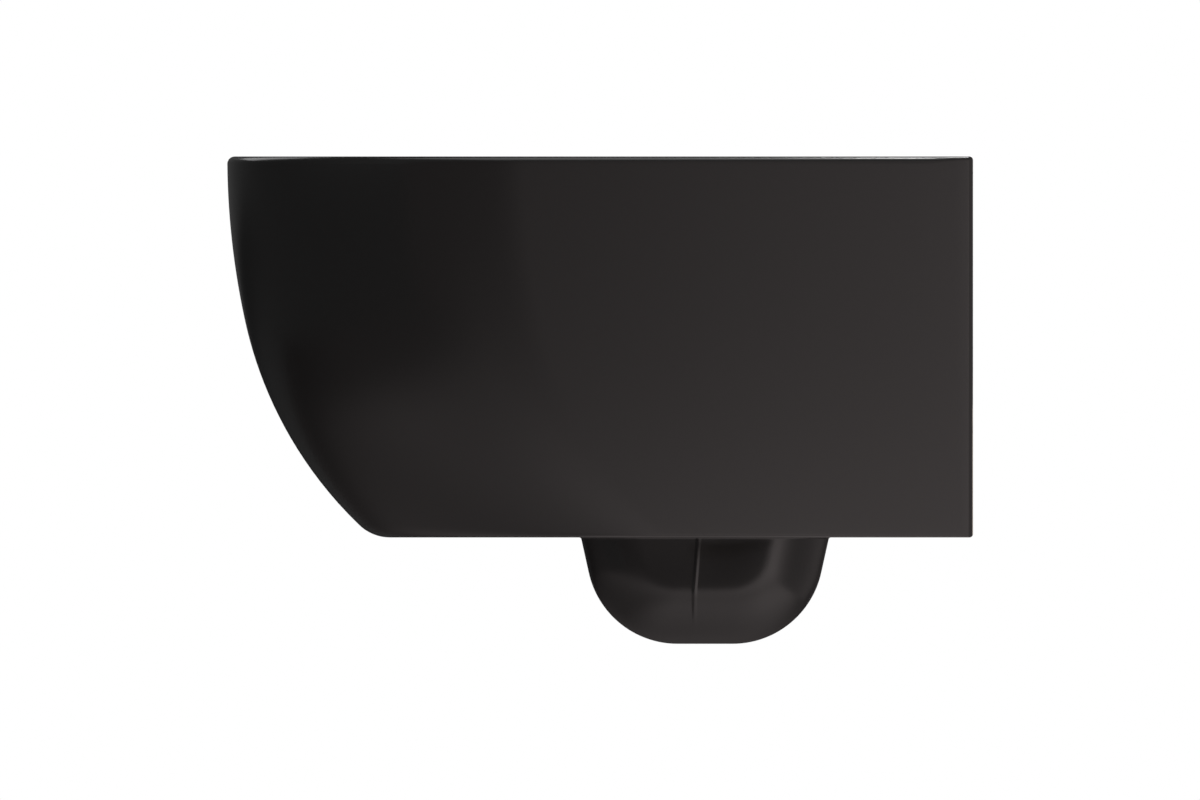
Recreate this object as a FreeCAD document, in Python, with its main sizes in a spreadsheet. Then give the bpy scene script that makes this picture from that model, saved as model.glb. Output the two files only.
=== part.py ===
import FreeCAD, Part
import math
import os
import types

import Sketcher
from FreeCAD import Rotation, Vector

# Wall hung toilet pan, millimetres. X runs across the pan, +Y points into the wall and +Z up.
# The wall is the plane Y = 0. The origin lies on it, midway between the two wall studs.

doc = FreeCAD.newDocument("WallHungToilet")

SIZES = {
    # Outer body
    "body_length": 505,  # wall to front tip
    "body_width": 360,
    "body_depth": 258,  # rim to flat underside
    "rim_height": 80,  # rim above the wall studs
    "side_lean": 10,  # how far each side draws in towards the underside
    "nose_length": 200,  # front stretch that is round in plan
    "brow_radius": 520,  # front line, upper arc
    "brow_depth": 112,  # where the upper arc ends, below the rim
    "chin_radius": 272,  # front line, lower arc
    "chin_round": 30,  # where the front turns into the underside
    "edge_round": 2.5,  # underside to the sides and the wall end
    "back_round": 3.5,  # upright edges at the wall
    "rim_round": 5,
    "shell_wall": 11,
    "deck_thickness": 14,
    "plate_thickness": 14,
    # Bowl
    "bowl_width": 270,
    "bowl_front": 45,  # front tip to the opening
    "bowl_back": 140,  # wall to the opening
    "bowl_middle": 280,  # wall to the widest place
    "bowl_wall": 11,
    "mouth_round": 8,
    "ledge_drop": 40,  # rim to the ledge that carries the flush
    "ledge_width": 8,
    "ledge_round": 3,
    # Trap and waste
    "trap_middle": 181.5,  # wall to the middle of the bend
    "trap_drop": 72,  # underside to the lowest place
    "trap_length": 168,
    "trap_corner": 61.5,
    "trap_taper": 12.5,  # degrees
    "trap_rise": 18,  # how far the trap stands up inside the body
    "trap_seam": 187,  # wall to the seam between the halves
    "trap_wall": 11,
    "waterway_bore": 52,
    "waterway_bend": 30,
    "trap_land": 1,  # flat left between the two rounds of the trap's edge
    "half_step": 1,  # how far the rear half of the trap stands proud of the front half
    "dish_radius": 46,  # hollow between the legs, one in each flank
    "dish_depth": 13,
    "dish_round": 6,
    "waste_rise": 78,  # underside to the middle of the waste
    "weir_rise": 43,  # underside to the weir
    "elbow_bend": 40,
    "elbow_end": 82,  # wall to the end of the elbow
    "spigot_diameter": 102,
    "spigot_bore": 82,
    "spigot_end": 2,  # end of the spigot, short of the wall
    "rib_spacing": 132,  # clear width between the ribs beside the waste
    "plate_foot": 32,  # wall studs to the lower edge of the wall plate
    # Flush water
    "inlet_height": 35,
    "inlet_bore": 55,
    "inlet_depth": 30,
    "inlet_wall": 9,
    "throat_bore": 44,
    "socket_length": 48,
    "chamber_width": 116,
    "chamber_height": 26,
    "chamber_wall": 6,
    "throat_flat": 1,  # flat across the top of the channel where it meets the throat
    "insert_width": 84,
    "insert_height": 14,
    "insert_length": 24,
    "insert_wall": 2.5,
    "window_margin": 4,  # from a window of the insert to its edges
    "gasket_thickness": 2,
    # Wall fixings
    "stud_spacing": 180,
    "stud_diameter": 12,
    "stud_clearance": 0.5,
    "boss_diameter": 52,
    "boss_length": 26,
    "sleeve_wall": 3.5,
    "sleeve_clearance": 0.3,
    "flange_diameter": 36,
    "flange_thickness": 3,
    "washer_diameter": 24,
    "washer_thickness": 2.5,
    "nut_width": 19,
    "nut_thickness": 10,
    # Seat hinge holes
    "hinge_spacing": 155,
    "hinge_back": 78,
    "hinge_hole": 15,
    # Openings for the fitter's hands, in the underside
    "hand_inner": 62,
    "hand_outer": 148,
    "hand_front": 200,
    "hand_round": 18,
}


class Size:
    """A length, kept both as a number and as the sheet formula that gives it."""

    def __init__(self, text, value):
        self.text = text
        self.value = value

    def _join(self, sign, other, value):
        return Size(f"({self.text} {sign} {as_size(other).text})", value)

    def __add__(self, other):
        return self._join("+", other, self.value + as_size(other).value)

    def __sub__(self, other):
        return self._join("-", other, self.value - as_size(other).value)

    def __mul__(self, other):
        return self._join("*", other, self.value * as_size(other).value)

    def __truediv__(self, other):
        return self._join("/", other, self.value / as_size(other).value)

    def __neg__(self):
        return Size(f"(0 - {self.text})", -self.value)

    def __radd__(self, other):
        return as_size(other) + self

    def __rsub__(self, other):
        return as_size(other) - self

    def __rmul__(self, other):
        return as_size(other) * self

    def __rtruediv__(self, other):
        return as_size(other) / self


def as_size(value):
    """Return value as a Size."""
    return value if isinstance(value, Size) else Size(repr(float(value)), float(value))


def root(size):
    """Return the square root of a size."""
    return Size(f"sqrt({size.text})", math.sqrt(size.value))


def make_sheet():
    """Write the driving sizes into a spreadsheet and return them by name."""
    sheet = doc.addObject("Spreadsheet::Sheet", "Sizes")
    for row, (name, value) in enumerate(SIZES.items(), start=1):
        sheet.set(f"A{row}", name)
        sheet.set(f"B{row}", str(value))
        sheet.setAlias(f"B{row}", name)
    doc.recompute()
    named = {name: Size(f"Sizes.{name}", float(sheet.get(name))) for name in SIZES}
    return types.SimpleNamespace(**named)


S = make_sheet()

# Heights
UNDERSIDE = S.rim_height - S.body_depth
FLOOR_TOP = UNDERSIDE + S.shell_wall
SEAM = S.rim_height - S.deck_thickness
LEDGE = S.rim_height - S.ledge_drop
TRAP_TOP = UNDERSIDE + S.trap_rise
TRAP_BOTTOM = UNDERSIDE - S.trap_drop
WASTE_HEIGHT = UNDERSIDE + S.waste_rise
WEIR_HEIGHT = UNDERSIDE + S.weir_rise

SIDES = ((-1, "left"), (1, "right"))
NEAR = 0.01  # measured lengths that differ by less are the same

FACING = {
    "up": Rotation(),
    "wall": Rotation(Vector(1, 0, 0), 90),  # sketch X and Y along X and Z, normal away from the wall
    "side": Rotation(Vector(1, 1, 1), 120),  # sketch X and Y along Y and Z, normal along +X
}


def bind(obj, path, size):
    """Drive one property of an object from the sheet."""
    obj.setExpression(path, as_size(size).text)


def place(obj, x=0, y=0, z=0, facing="up"):
    """Put an object at sizes along the three axes."""
    obj.Placement = FreeCAD.Placement(Vector(0, 0, 0), FACING[facing])
    for axis, size in zip("xyz", (x, y, z)):
        bind(obj, f"Placement.Base.{axis}", size)
    return obj


def box(name, x, y, z):
    """Make a box between two sizes on each axis."""
    solid = doc.addObject("Part::Box", name)
    for side, (low, high) in zip(("Length", "Width", "Height"), (x, y, z)):
        bind(solid, side, high - low)
    return place(solid, x[0], y[0], z[0])


def rod(name, radius, length, x=0, y=0, z=0, facing="wall"):
    """Make a cylinder. Facing the wall, it runs forwards from y."""
    solid = doc.addObject("Part::Cylinder", name)
    bind(solid, "Radius", radius)
    bind(solid, "Height", length)
    return place(solid, x, y, z, facing)


def cut(name, base, *tools):
    """Take the tools away from the base."""
    for count, tool in enumerate(tools, start=1):
        last = count == len(tools)
        result = doc.addObject("Part::Cut", name if last else f"{name}_cut_{count}")
        result.Base = base
        result.Tool = tool
        base = result
    return base


def common(name, first, second):
    """Keep what two solids share."""
    result = doc.addObject("Part::Common", name)
    result.Base = first
    result.Tool = second
    return result


def fuse(name, *solids):
    """Join solids into one."""
    result = doc.addObject("Part::MultiFuse", name)
    result.Shapes = list(solids)
    result.Refine = True
    return result


def loft(name, sections):
    """Make a smooth solid through closed sections."""
    result = doc.addObject("Part::Loft", name)
    result.Sections = sections
    result.Solid = True
    return result


def extrude(name, sketch, length, symmetric=False):
    """Pull a closed sketch into a solid along its normal."""
    result = doc.addObject("Part::Extrusion", name)
    result.Base = sketch
    result.DirMode = "Normal"
    result.Solid = True
    result.Symmetric = symmetric
    bind(result, "LengthFwd", length)
    return result


def round_edges(name, base, rounds):
    """Round edges of a solid. rounds gives each edge number its radius at either end."""
    result = doc.addObject("Part::Fillet", name)
    result.Base = base
    result.Edges = rounds
    return result


def sketch(name, x=0, y=0, z=0, facing="up"):
    """Start a sketch at a place."""
    return place(doc.addObject("Sketcher::SketchObject", name), x, y, z, facing)


def pin(drawing, geometry, end, x=None, y=None):
    """Hold one end of a sketch curve at sizes from the origin, or on an axis where none is given."""
    for kind, size, axis in (("DistanceX", x, -2), ("DistanceY", y, -1)):
        if size is None:
            drawing.addConstraint(Sketcher.Constraint("PointOnObject", geometry, end, axis))
            continue
        distance = Sketcher.Constraint(kind, -1, 1, geometry, end, as_size(size).value)
        number = drawing.addConstraint(distance)
        bind(drawing, f"Constraints[{number}]", size)


def join(drawing, curves):
    """Tie each sketch curve's given end to the next curve's given start."""
    for (first, _, end), (second, start, _) in zip(curves, curves[1:] + curves[:1]):
        drawing.addConstraint(Sketcher.Constraint("Coincident", first, end, second, start))


def line(drawing, start, end):
    """Draw a line between two points given as pairs of sizes."""
    points = [Vector(as_size(x).value, as_size(y).value, 0) for x, y in (start, end)]
    return drawing.addGeometry(Part.LineSegment(*points))


def outline(drawing, corners):
    """Draw a closed outline through corners given as pairs of sizes."""
    numbers = [line(drawing, start, end) for start, end in zip(corners, corners[1:] + corners[:1])]
    join(drawing, [(number, 1, 2) for number in numbers])
    for number, (x, y) in zip(numbers, corners):
        pin(drawing, number, 1, x=x, y=y)


def ellipse_arc(drawing, middle, across, along, start, end):
    """Draw an arc of an ellipse between two angles in degrees. Its middle lies on the sketch's Y axis."""
    middle = as_size(middle)
    reach, depth, height = as_size(across).value, as_size(along).value, middle.value
    centre = Vector(0, height, 0)
    turn = 0
    if abs(reach - depth) < NEAR:
        curve = Part.Circle(centre, Vector(0, 0, 1), reach)
        make_arc = Part.ArcOfCircle
    elif reach > depth:
        curve = Part.Ellipse(Vector(reach, height, 0), Vector(0, height + depth, 0), centre)
        make_arc = Part.ArcOfEllipse
    else:
        curve = Part.Ellipse(Vector(0, height + depth, 0), Vector(-reach, height, 0), centre)
        make_arc = Part.ArcOfEllipse
        turn = 90
    number = drawing.addGeometry(make_arc(curve, math.radians(start - turn), math.radians(end - turn)))
    # The ends alone fix a quarter circle.
    if make_arc is Part.ArcOfEllipse:
        pin(drawing, number, 3, y=middle)
    return number


def d_section(name, height, half_width, tip, nose):
    """Plan outline with a flat back on the wall, straight sides and a nose of two quarter ellipses."""
    drawing = sketch(name, z=height)
    shoulder = nose - tip
    back = line(drawing, (-half_width, 0), (half_width, 0))
    right = line(drawing, (half_width, 0), (half_width, shoulder))
    nose_right = ellipse_arc(drawing, shoulder, half_width, nose, 270, 360)
    nose_left = ellipse_arc(drawing, shoulder, half_width, nose, 180, 270)
    left = line(drawing, (-half_width, shoulder), (-half_width, 0))
    join(drawing, [(back, 1, 2), (right, 1, 2), (nose_right, 2, 1), (nose_left, 2, 1), (left, 1, 2)])
    pin(drawing, back, 1, x=-half_width)
    pin(drawing, back, 2, x=half_width)
    pin(drawing, right, 2, x=half_width, y=shoulder)
    pin(drawing, left, 1, x=-half_width, y=shoulder)
    pin(drawing, nose_right, 1, y=-tip)
    return drawing


def egg_section(name, height, half_width, front, middle, back):
    """Plan outline of four quarter ellipses. front, middle and back are distances from the wall."""
    drawing = sketch(name, z=height)
    right_back = ellipse_arc(drawing, -middle, half_width, middle - back, 0, 90)
    left_back = ellipse_arc(drawing, -middle, half_width, middle - back, 90, 180)
    left_front = ellipse_arc(drawing, -middle, half_width, front - middle, 180, 270)
    right_front = ellipse_arc(drawing, -middle, half_width, front - middle, 270, 360)
    join(drawing, [(right_back, 1, 2), (left_back, 1, 2), (left_front, 1, 2), (right_front, 1, 2)])
    pin(drawing, right_back, 1, x=half_width, y=-middle)
    pin(drawing, left_back, 1, y=-back)
    pin(drawing, left_front, 1, x=-half_width, y=-middle)
    pin(drawing, right_front, 1, y=-front)
    return drawing


# ---- Outer body -------------------------------------------------------------------------


def min_size(first, second):
    """Return the smaller of two sizes."""
    return first if first.value <= second.value else second


def front_line(depth):
    """Return how far the front has drawn in at a depth below the rim, and the sine of its slope."""
    sine = min_size(depth, S.brow_depth) / S.brow_radius
    inset = S.brow_radius - S.brow_radius * root(1 - sine * sine)
    if depth.value > S.brow_depth.value:
        start = sine
        sine = start + (depth - S.brow_depth) / S.chin_radius
        inset = inset + S.chin_radius * (root(1 - start * start) - root(1 - sine * sine))
    return inset, sine


def side_reach(depth):
    """Return half the body's width at a depth below the rim."""
    return S.body_width / 2 - S.side_lean * depth / S.body_depth


def body_section(name, depth, wall=0):
    """Plan outline of the body at a depth below the rim, drawn in by a wall."""
    inset, sine = front_line(depth)
    half_width = side_reach(depth) - wall
    front_wall = wall / root(1 - sine * sine)
    tip = S.body_length - inset - front_wall
    return d_section(name, S.rim_height - depth, half_width, tip, S.nose_length - front_wall)


def body_loft(name, first_depth, last_depth, wall=0):
    """Loft the body between two depths, with sections at the brow and evenly below it."""
    chin = S.body_depth - S.brow_depth
    depths = [first_depth, S.brow_depth / 2, S.brow_depth]
    depths += [S.brow_depth + chin / 3, S.brow_depth + chin * 2 / 3, last_depth]
    sections = []
    for number, depth in enumerate(depths):
        sections.append(body_section(f"{name}_section_{number}", as_size(depth), wall))
    return loft(name, sections)


def close(length, size):
    """Say whether a measured length agrees with a size."""
    return abs(length - as_size(size).value) < NEAR


def body_rounds(shape):
    """Give each outer edge of the body its radius at either end."""
    rounds = []
    for number, edge in enumerate(shape.Edges, start=1):
        ends = [vertex.Point for vertex in edge.Vertexes]
        at_top = all(close(point.z, S.rim_height) for point in ends)
        at_bottom = all(close(point.z, UNDERSIDE) for point in ends)
        at_wall = all(close(point.y, 0) for point in ends)
        level = at_top or at_bottom
        if at_wall:
            radii = [S.edge_round if level else S.back_round] * 2
        elif at_top:
            radii = [S.rim_round] * 2
        elif at_bottom:
            # The round grows from the sides towards the tip, which lies on the middle plane.
            radii = [S.chin_round if close(point.x, 0) else S.edge_round for point in ends]
        else:
            continue
        rounds.append((number, *(radius.value for radius in radii)))
    return rounds


# The whole outside of the body, before it is parted at the luting seam under the rim.
body_blank = body_loft("body_blank", 0, S.body_depth)
doc.recompute()
body = round_edges("body_form", body_blank, body_rounds(body_blank.Shape))
cavity = body_loft("body_cavity", S.deck_thickness, S.body_depth - S.shell_wall, S.shell_wall)

WIDE = (-S.body_width, S.body_width)
LONG = (-S.body_length * 2, S.body_length)


# ---- Trap ---------------------------------------------------------------------------------

LEG_OFFSET = S.trap_length / 2 - S.waterway_bore / 2 - S.trap_wall
DOWN_LEG = -S.trap_middle - LEG_OFFSET
UP_LEG = -S.trap_middle + LEG_OFFSET
BEND_HEIGHT = TRAP_BOTTOM + S.trap_wall + S.waterway_bore / 2


def arc(drawing, centre, radius, start, end):
    """Draw an arc of a circle between two angles in degrees, counterclockwise."""
    middle = Vector(as_size(centre[0]).value, as_size(centre[1]).value, 0)
    circle = Part.Circle(middle, Vector(0, 0, 1), as_size(radius).value)
    number = drawing.addGeometry(Part.ArcOfCircle(circle, math.radians(start), math.radians(end)))
    bind(drawing, f"Constraints[{add_radius(drawing, number, radius)}]", radius)
    pin(drawing, number, 3, x=centre[0], y=centre[1])
    return number


def add_radius(drawing, number, radius):
    """Hold the radius of a sketch curve and return the number of the constraint."""
    return drawing.addConstraint(Sketcher.Constraint("Radius", number, as_size(radius).value))


def trap_profile(name):
    """Side outline of the trap: tapered flanks, large round corners and a short flat bottom."""
    drawing = sketch(name, facing="side")
    taper = math.radians(S.trap_taper.value)
    half, corner = S.trap_length / 2, S.trap_corner
    # The corner circle touches the bottom and the tapered flank.
    flank_drop = S.trap_drop - corner + corner * math.sin(taper)
    flank_reach = half - flank_drop * math.tan(taper)
    centre_reach = flank_reach - corner * math.cos(taper)
    curves = []
    for side in (-1, 1):
        outer = -S.trap_middle + side * half
        flank = -S.trap_middle + side * flank_reach
        centre = -S.trap_middle + side * centre_reach
        flank_height = UNDERSIDE - flank_drop
        upright = line(drawing, (outer, TRAP_TOP), (outer, UNDERSIDE))
        slope = line(drawing, (outer, UNDERSIDE), (flank, flank_height))
        angles = (180 + S.trap_taper.value, 270) if side < 0 else (270, 360 - S.trap_taper.value)
        corner_arc = arc(drawing, (centre, TRAP_BOTTOM + corner), corner, *angles)
        pin(drawing, upright, 1, x=outer, y=TRAP_TOP)
        pin(drawing, upright, 2, x=outer, y=UNDERSIDE)
        curves.append((upright, slope, corner_arc, centre))
    (left, left_slope, left_arc, left_middle), (right, right_slope, right_arc, right_middle) = curves
    bottom = line(drawing, (left_middle, TRAP_BOTTOM), (right_middle, TRAP_BOTTOM))
    top = line(
        drawing,
        (-S.trap_middle + half, TRAP_TOP),
        (-S.trap_middle - half, TRAP_TOP),
    )
    order = [(left, 1, 2), (left_slope, 1, 2), (left_arc, 1, 2), (bottom, 1, 2)]
    order += [(right_arc, 1, 2), (right_slope, 2, 1), (right, 2, 1), (top, 1, 2)]
    join(drawing, order)
    return drawing


def flank_rounds(shape, half_width):
    """Give the edges round both flanks of the trap their radius, apart from the hidden top edges."""
    radius = (half_width - S.trap_land).value
    rounds = []
    for number, edge in enumerate(shape.Edges, start=1):
        ends = [vertex.Point for vertex in edge.Vertexes]
        on_flank = all(close(abs(point.x), half_width) for point in ends)
        if on_flank and not all(close(point.z, TRAP_TOP) for point in ends):
            rounds.append((number, radius, radius))
    return rounds


def dish_rounds(shape, half_width):
    """Give the rims of the dishes their radius: each lies on a flank and ends at the underside."""
    radius = S.dish_round.value
    rounds = []
    for number, edge in enumerate(shape.Edges, start=1):
        span = edge.BoundBox
        on_flank = close(span.XLength, 0) and close(abs(span.XMin), half_width)
        if on_flank and all(close(vertex.Point.z, UNDERSIDE) for vertex in edge.Vertexes):
            rounds.append((number, radius, radius))
    return rounds


def trap_form(name, half_width):
    """Make the outside of the trap: a fully rounded plate with a dish in each flank."""
    plate = extrude(f"{name}_plate", trap_profile(f"{name}_profile"), half_width * 2, symmetric=True)
    doc.recompute()
    rounded = round_edges(f"{name}_rounded", plate, flank_rounds(plate.Shape, half_width))
    dishes = []
    for side, hand in SIDES:
        ball = doc.addObject("Part::Sphere", f"{name}_ball_{hand}")
        bind(ball, "Radius", S.dish_radius)
        away = half_width + S.dish_radius - S.dish_depth
        place(ball, side * away, -S.trap_middle, UNDERSIDE)
        above = box(f"{name}_above_{hand}", WIDE, LONG, (UNDERSIDE, UNDERSIDE + S.body_depth))
        dishes.append(cut(f"{name}_dish_{hand}", ball, above))
    dished = cut(f"{name}_dished", rounded, *dishes)
    doc.recompute()
    return round_edges(f"{name}_form", dished, dish_rounds(dished.Shape, half_width))


def waterway():
    """Make the bore through the trap, down one leg and up the other."""
    path = sketch("waterway_path", facing="side")
    bend = S.waterway_bend
    corner = BEND_HEIGHT + bend
    down = line(path, (DOWN_LEG, TRAP_TOP), (DOWN_LEG, corner))
    first = arc(path, (DOWN_LEG + bend, corner), bend, 180, 270)
    across = line(path, (DOWN_LEG + bend, BEND_HEIGHT), (UP_LEG - bend, BEND_HEIGHT))
    second = arc(path, (UP_LEG - bend, corner), bend, 270, 360)
    rise = line(path, (UP_LEG, corner), (UP_LEG, TRAP_TOP))
    for earlier, later in ((down, first), (first, across), (across, second), (second, rise)):
        path.addConstraint(Sketcher.Constraint("Coincident", earlier, 2, later, 1))
    pin(path, down, 1, x=DOWN_LEG, y=TRAP_TOP)
    pin(path, rise, 2, x=UP_LEG, y=TRAP_TOP)
    return sweep("waterway", ring("waterway_section", S.waterway_bore / 2, 0, DOWN_LEG, TRAP_TOP), path)


def ring(name, radius, x=0, y=0, z=0, facing="up"):
    """Draw a circle."""
    drawing = sketch(name, x, y, z, facing)
    number = drawing.addGeometry(Part.Circle(Vector(0, 0, 0), Vector(0, 0, 1), as_size(radius).value))
    bind(drawing, f"Constraints[{add_radius(drawing, number, radius)}]", radius)
    drawing.addConstraint(Sketcher.Constraint("Coincident", number, 3, -1, 1))
    return drawing


def sweep(name, section, path):
    """Pull a section along a path."""
    result = doc.addObject("Part::Sweep", name)
    result.Sections = [section]
    result.Spine = (path, [])
    result.Solid = True
    result.Frenet = False
    return result


bore = waterway()
HALF_WIDTH = S.waterway_bore / 2 + S.trap_wall
below, above = TRAP_BOTTOM - S.trap_length, TRAP_TOP + S.trap_length
front_space = box("front_space", WIDE, LONG[:1] + (-S.trap_seam,), (below, above))
rear_space = box("rear_space", WIDE, (-S.trap_seam, S.trap_seam), (below, above))
trap_front = common("trap_front", trap_form("front_trap", HALF_WIDTH - S.half_step), front_space)
trap_rear = common("trap_rear", trap_form("rear_trap", HALF_WIDTH), rear_space)
trap_front_half = cut("trap_front_half", trap_front, bore)
trap_rear_half = cut("trap_rear_half", trap_rear, bore)


def elbow_tube(name, radius):
    """Make a round solid that climbs from the trap, turns to the wall and ends level with the waste."""
    path = sketch(f"{name}_path", facing="side")
    height = WEIR_HEIGHT + S.waterway_bore / 2
    bend = S.elbow_bend
    rise = line(path, (UP_LEG, TRAP_TOP), (UP_LEG, height - bend))
    turn = arc(path, (UP_LEG + bend, height - bend), bend, 90, 180)
    run = line(path, (UP_LEG + bend, height), (-S.elbow_end, height))
    path.addConstraint(Sketcher.Constraint("Coincident", rise, 2, turn, 2))
    path.addConstraint(Sketcher.Constraint("Coincident", turn, 1, run, 1))
    pin(path, rise, 1, x=UP_LEG, y=TRAP_TOP)
    pin(path, run, 2, x=-S.elbow_end, y=height)
    return sweep(name, ring(f"{name}_section", radius, 0, UP_LEG, TRAP_TOP), path)


waste_elbow = cut(
    "waste_elbow",
    elbow_tube("elbow_outside", HALF_WIDTH),
    elbow_tube("elbow_bore", S.waterway_bore / 2),
)


def make_spigot():
    """Make the waste spigot, with a step down to the bore of the elbow at its front end."""
    length = S.elbow_end - S.spigot_end
    outside = rod("spigot_outside", S.spigot_diameter / 2, length, 0, -S.spigot_end, WASTE_HEIGHT)
    inside = rod("spigot_inside", S.spigot_bore / 2, length - S.trap_wall, 0, -S.spigot_end, WASTE_HEIGHT)
    height = WEIR_HEIGHT + S.waterway_bore / 2
    passage = rod("spigot_passage", S.waterway_bore / 2, S.elbow_end, 0, 0, height)
    return cut("waste_spigot", outside, inside, passage)


waste_spigot = make_spigot()

# ---- Bowl and rim -------------------------------------------------------------------------

BOWL_STEPS = 5
THROAT = S.waterway_bore / 2
# Powers that shape the walls of the bowl: at 1 a wall slants evenly, above it the wall stays steep
# near the ledge and swings in lower down.
SIDE_FALL = 1.5
FRONT_FALL = 1.7
BACK_FALL = 0.9


def bowl_section(name, share, wall):
    """Egg outline of the bowl at a share of the way from the ledge to the trap."""
    height = LEDGE - (LEDGE - TRAP_TOP) * share
    rim_half = S.bowl_width / 2 - S.ledge_width
    rim_front = S.body_length - S.bowl_front - S.ledge_width
    rim_back = S.bowl_back + S.ledge_width
    half_width = rim_half - (rim_half - THROAT) * share**SIDE_FALL + wall
    front = rim_front - (rim_front + DOWN_LEG - THROAT) * share**FRONT_FALL + wall
    back = rim_back + (-DOWN_LEG - THROAT - rim_back) * share**BACK_FALL - wall
    middle = S.bowl_middle - (S.bowl_middle + DOWN_LEG) * share
    return egg_section(name, height, half_width, front, middle, back)


def bowl_loft(name, wall=0):
    """Loft the bowl from the ledge down to the trap."""
    return loft(name, [bowl_section(f"{name}_{n}", n / BOWL_STEPS, wall) for n in range(BOWL_STEPS + 1)])


def mouth_prism(name, bottom, top, wall=0):
    """Make the upright egg of the bowl's mouth between two heights."""
    half_width = S.bowl_width / 2 + wall
    front = S.body_length - S.bowl_front + wall
    egg = egg_section(f"{name}_outline", bottom, half_width, front, S.bowl_middle, S.bowl_back - wall)
    return extrude(name, egg, top - bottom)


SLOT_HEIGHT = SEAM - S.chamber_height / 2


def slot_block(name, margin, front, back):
    """Make a block through the back of the bowl at the flush slot. front and back are from the wall."""
    half_width = S.insert_width / 2 + margin
    half_height = S.insert_height / 2 + margin
    height = (SLOT_HEIGHT - half_height, SLOT_HEIGHT + half_height)
    return box(name, (-half_width, half_width), (-front, -back), height)


def ledge_rounds(shape):
    """Give both edges of the ledge their radius."""
    radius = S.ledge_round.value
    return [
        (number, radius, radius)
        for number, edge in enumerate(shape.Edges, start=1)
        if close(edge.BoundBox.ZMin, LEDGE) and close(edge.BoundBox.ZMax, LEDGE)
    ]


def make_bowl():
    """Make the bowl: an upright mouth, a ledge for the flush and an egg-shaped basin."""
    collar = mouth_prism("bowl_collar", LEDGE - S.bowl_wall, SEAM, S.bowl_wall)
    outside = fuse("bowl_outside", collar, bowl_loft("bowl_skin", S.bowl_wall))
    hollow = fuse("bowl_hollow_whole", mouth_prism("bowl_mouth", LEDGE, SEAM), bowl_loft("bowl_hollow"))
    doc.recompute()
    inside = round_edges("bowl_inside", hollow, ledge_rounds(hollow.Shape))
    front, back = S.bowl_back + S.bowl_wall, S.bowl_back - S.bowl_wall * 2
    slot = slot_block("flush_slot", S.gasket_thickness, front, back)
    return outside, cut("bowl", outside, inside, slot)


bowl_outside, bowl = make_bowl()

SOCKET_RADIUS = S.inlet_bore / 2 + S.inlet_wall
socket_space = rod("socket_space", SOCKET_RADIUS, S.socket_length, 0, 0, S.inlet_height)


def make_deck():
    """Make the rim and rear deck, with the mouth, the hinge holes and its inner edge rounded."""
    slab = box("deck_slab", WIDE, LONG, (SEAM, S.rim_height + S.deck_thickness))
    plate = common("deck_plate", body, slab)
    mouth = mouth_prism("deck_mouth", SEAM - S.deck_thickness, S.rim_height + S.deck_thickness)
    holes = [
        rod(f"hinge_hole_{name}", S.hinge_hole / 2, S.deck_thickness * 3, side * S.hinge_spacing / 2,
            -S.hinge_back, SEAM - S.deck_thickness, "up")
        for side, name in ((-1, "left"), (1, "right"))
    ]
    pierced = cut("deck_pierced", plate, mouth, socket_space, *holes)
    doc.recompute()
    rounds = [
        (number, S.mouth_round.value, S.mouth_round.value)
        for number, edge in enumerate(pierced.Shape.Edges, start=1)
        if is_mouth_edge(edge)
    ]
    return round_edges("rim_deck", pierced, rounds)


def is_mouth_edge(edge):
    """Say whether an edge is part of the bowl's mouth on top of the rim."""
    span = edge.BoundBox
    on_top = close(span.ZMin, S.rim_height) and close(span.ZMax, S.rim_height)
    inside_sides = max(span.XMax, -span.XMin) < S.bowl_width.value / 2 + NEAR
    behind_tip = span.YMin > (S.bowl_front - S.body_length).value - NEAR
    ahead_of_deck = span.YMax < NEAR - S.bowl_back.value
    return on_top and inside_sides and behind_tip and ahead_of_deck


rim_deck = make_deck()

# ---- Shell and wall plate -----------------------------------------------------------------


def hand_opening(name, side):
    """Make a round-cornered block for one opening in the underside."""
    across = (S.hand_inner, S.hand_outer) if side > 0 else (-S.hand_outer, -S.hand_inner)
    along = (-S.hand_front, -S.plate_thickness * 2)
    block = box(f"{name}_block", across, along, (UNDERSIDE - S.shell_wall, FLOOR_TOP + S.shell_wall))
    doc.recompute()
    rounds = [
        (number, S.hand_round.value, S.hand_round.value)
        for number, edge in enumerate(block.Shape.Edges, start=1)
        if edge.BoundBox.ZLength > 1
    ]
    return round_edges(name, block, rounds)


below_seam = box("below_seam", WIDE, LONG, (UNDERSIDE - S.shell_wall, SEAM))
outer_shell = cut(
    "outer_shell",
    common("shell_outside", body, below_seam),
    cavity,
    trap_front,
    trap_rear,
    hand_opening("hand_opening_left", -1),
    hand_opening("hand_opening_right", 1),
)

SLEEVE_RADIUS = S.stud_diameter / 2 + S.stud_clearance + S.sleeve_wall


def stud_rod(name, side, radius, length, front=0):
    """Make a cylinder on a stud's line, starting at a distance from the wall."""
    hand = "left" if side < 0 else "right"
    return rod(f"{name}_{hand}", radius, length, side * S.stud_spacing / 2, -as_size(front))


def wall_reach(height):
    """Return half the width inside the shell's sides at a height."""
    return side_reach(S.rim_height - height) - S.shell_wall


def make_plate():
    """Make the wall plate, with holes for the flush socket and the studs."""
    drawing = sketch("plate_outline", facing="wall")
    top, foot = wall_reach(SEAM), wall_reach(-S.plate_foot)
    outline(drawing, [(-foot, -S.plate_foot), (foot, -S.plate_foot), (top, SEAM), (-top, SEAM)])
    blank = extrude("plate_blank", drawing, S.plate_thickness)
    depth = S.plate_thickness * 2
    studs = [stud_rod("stud_hole", side, SLEEVE_RADIUS + S.sleeve_clearance, depth) for side, _ in SIDES]
    return cut("wall_plate", blank, socket_space, *studs)


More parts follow.
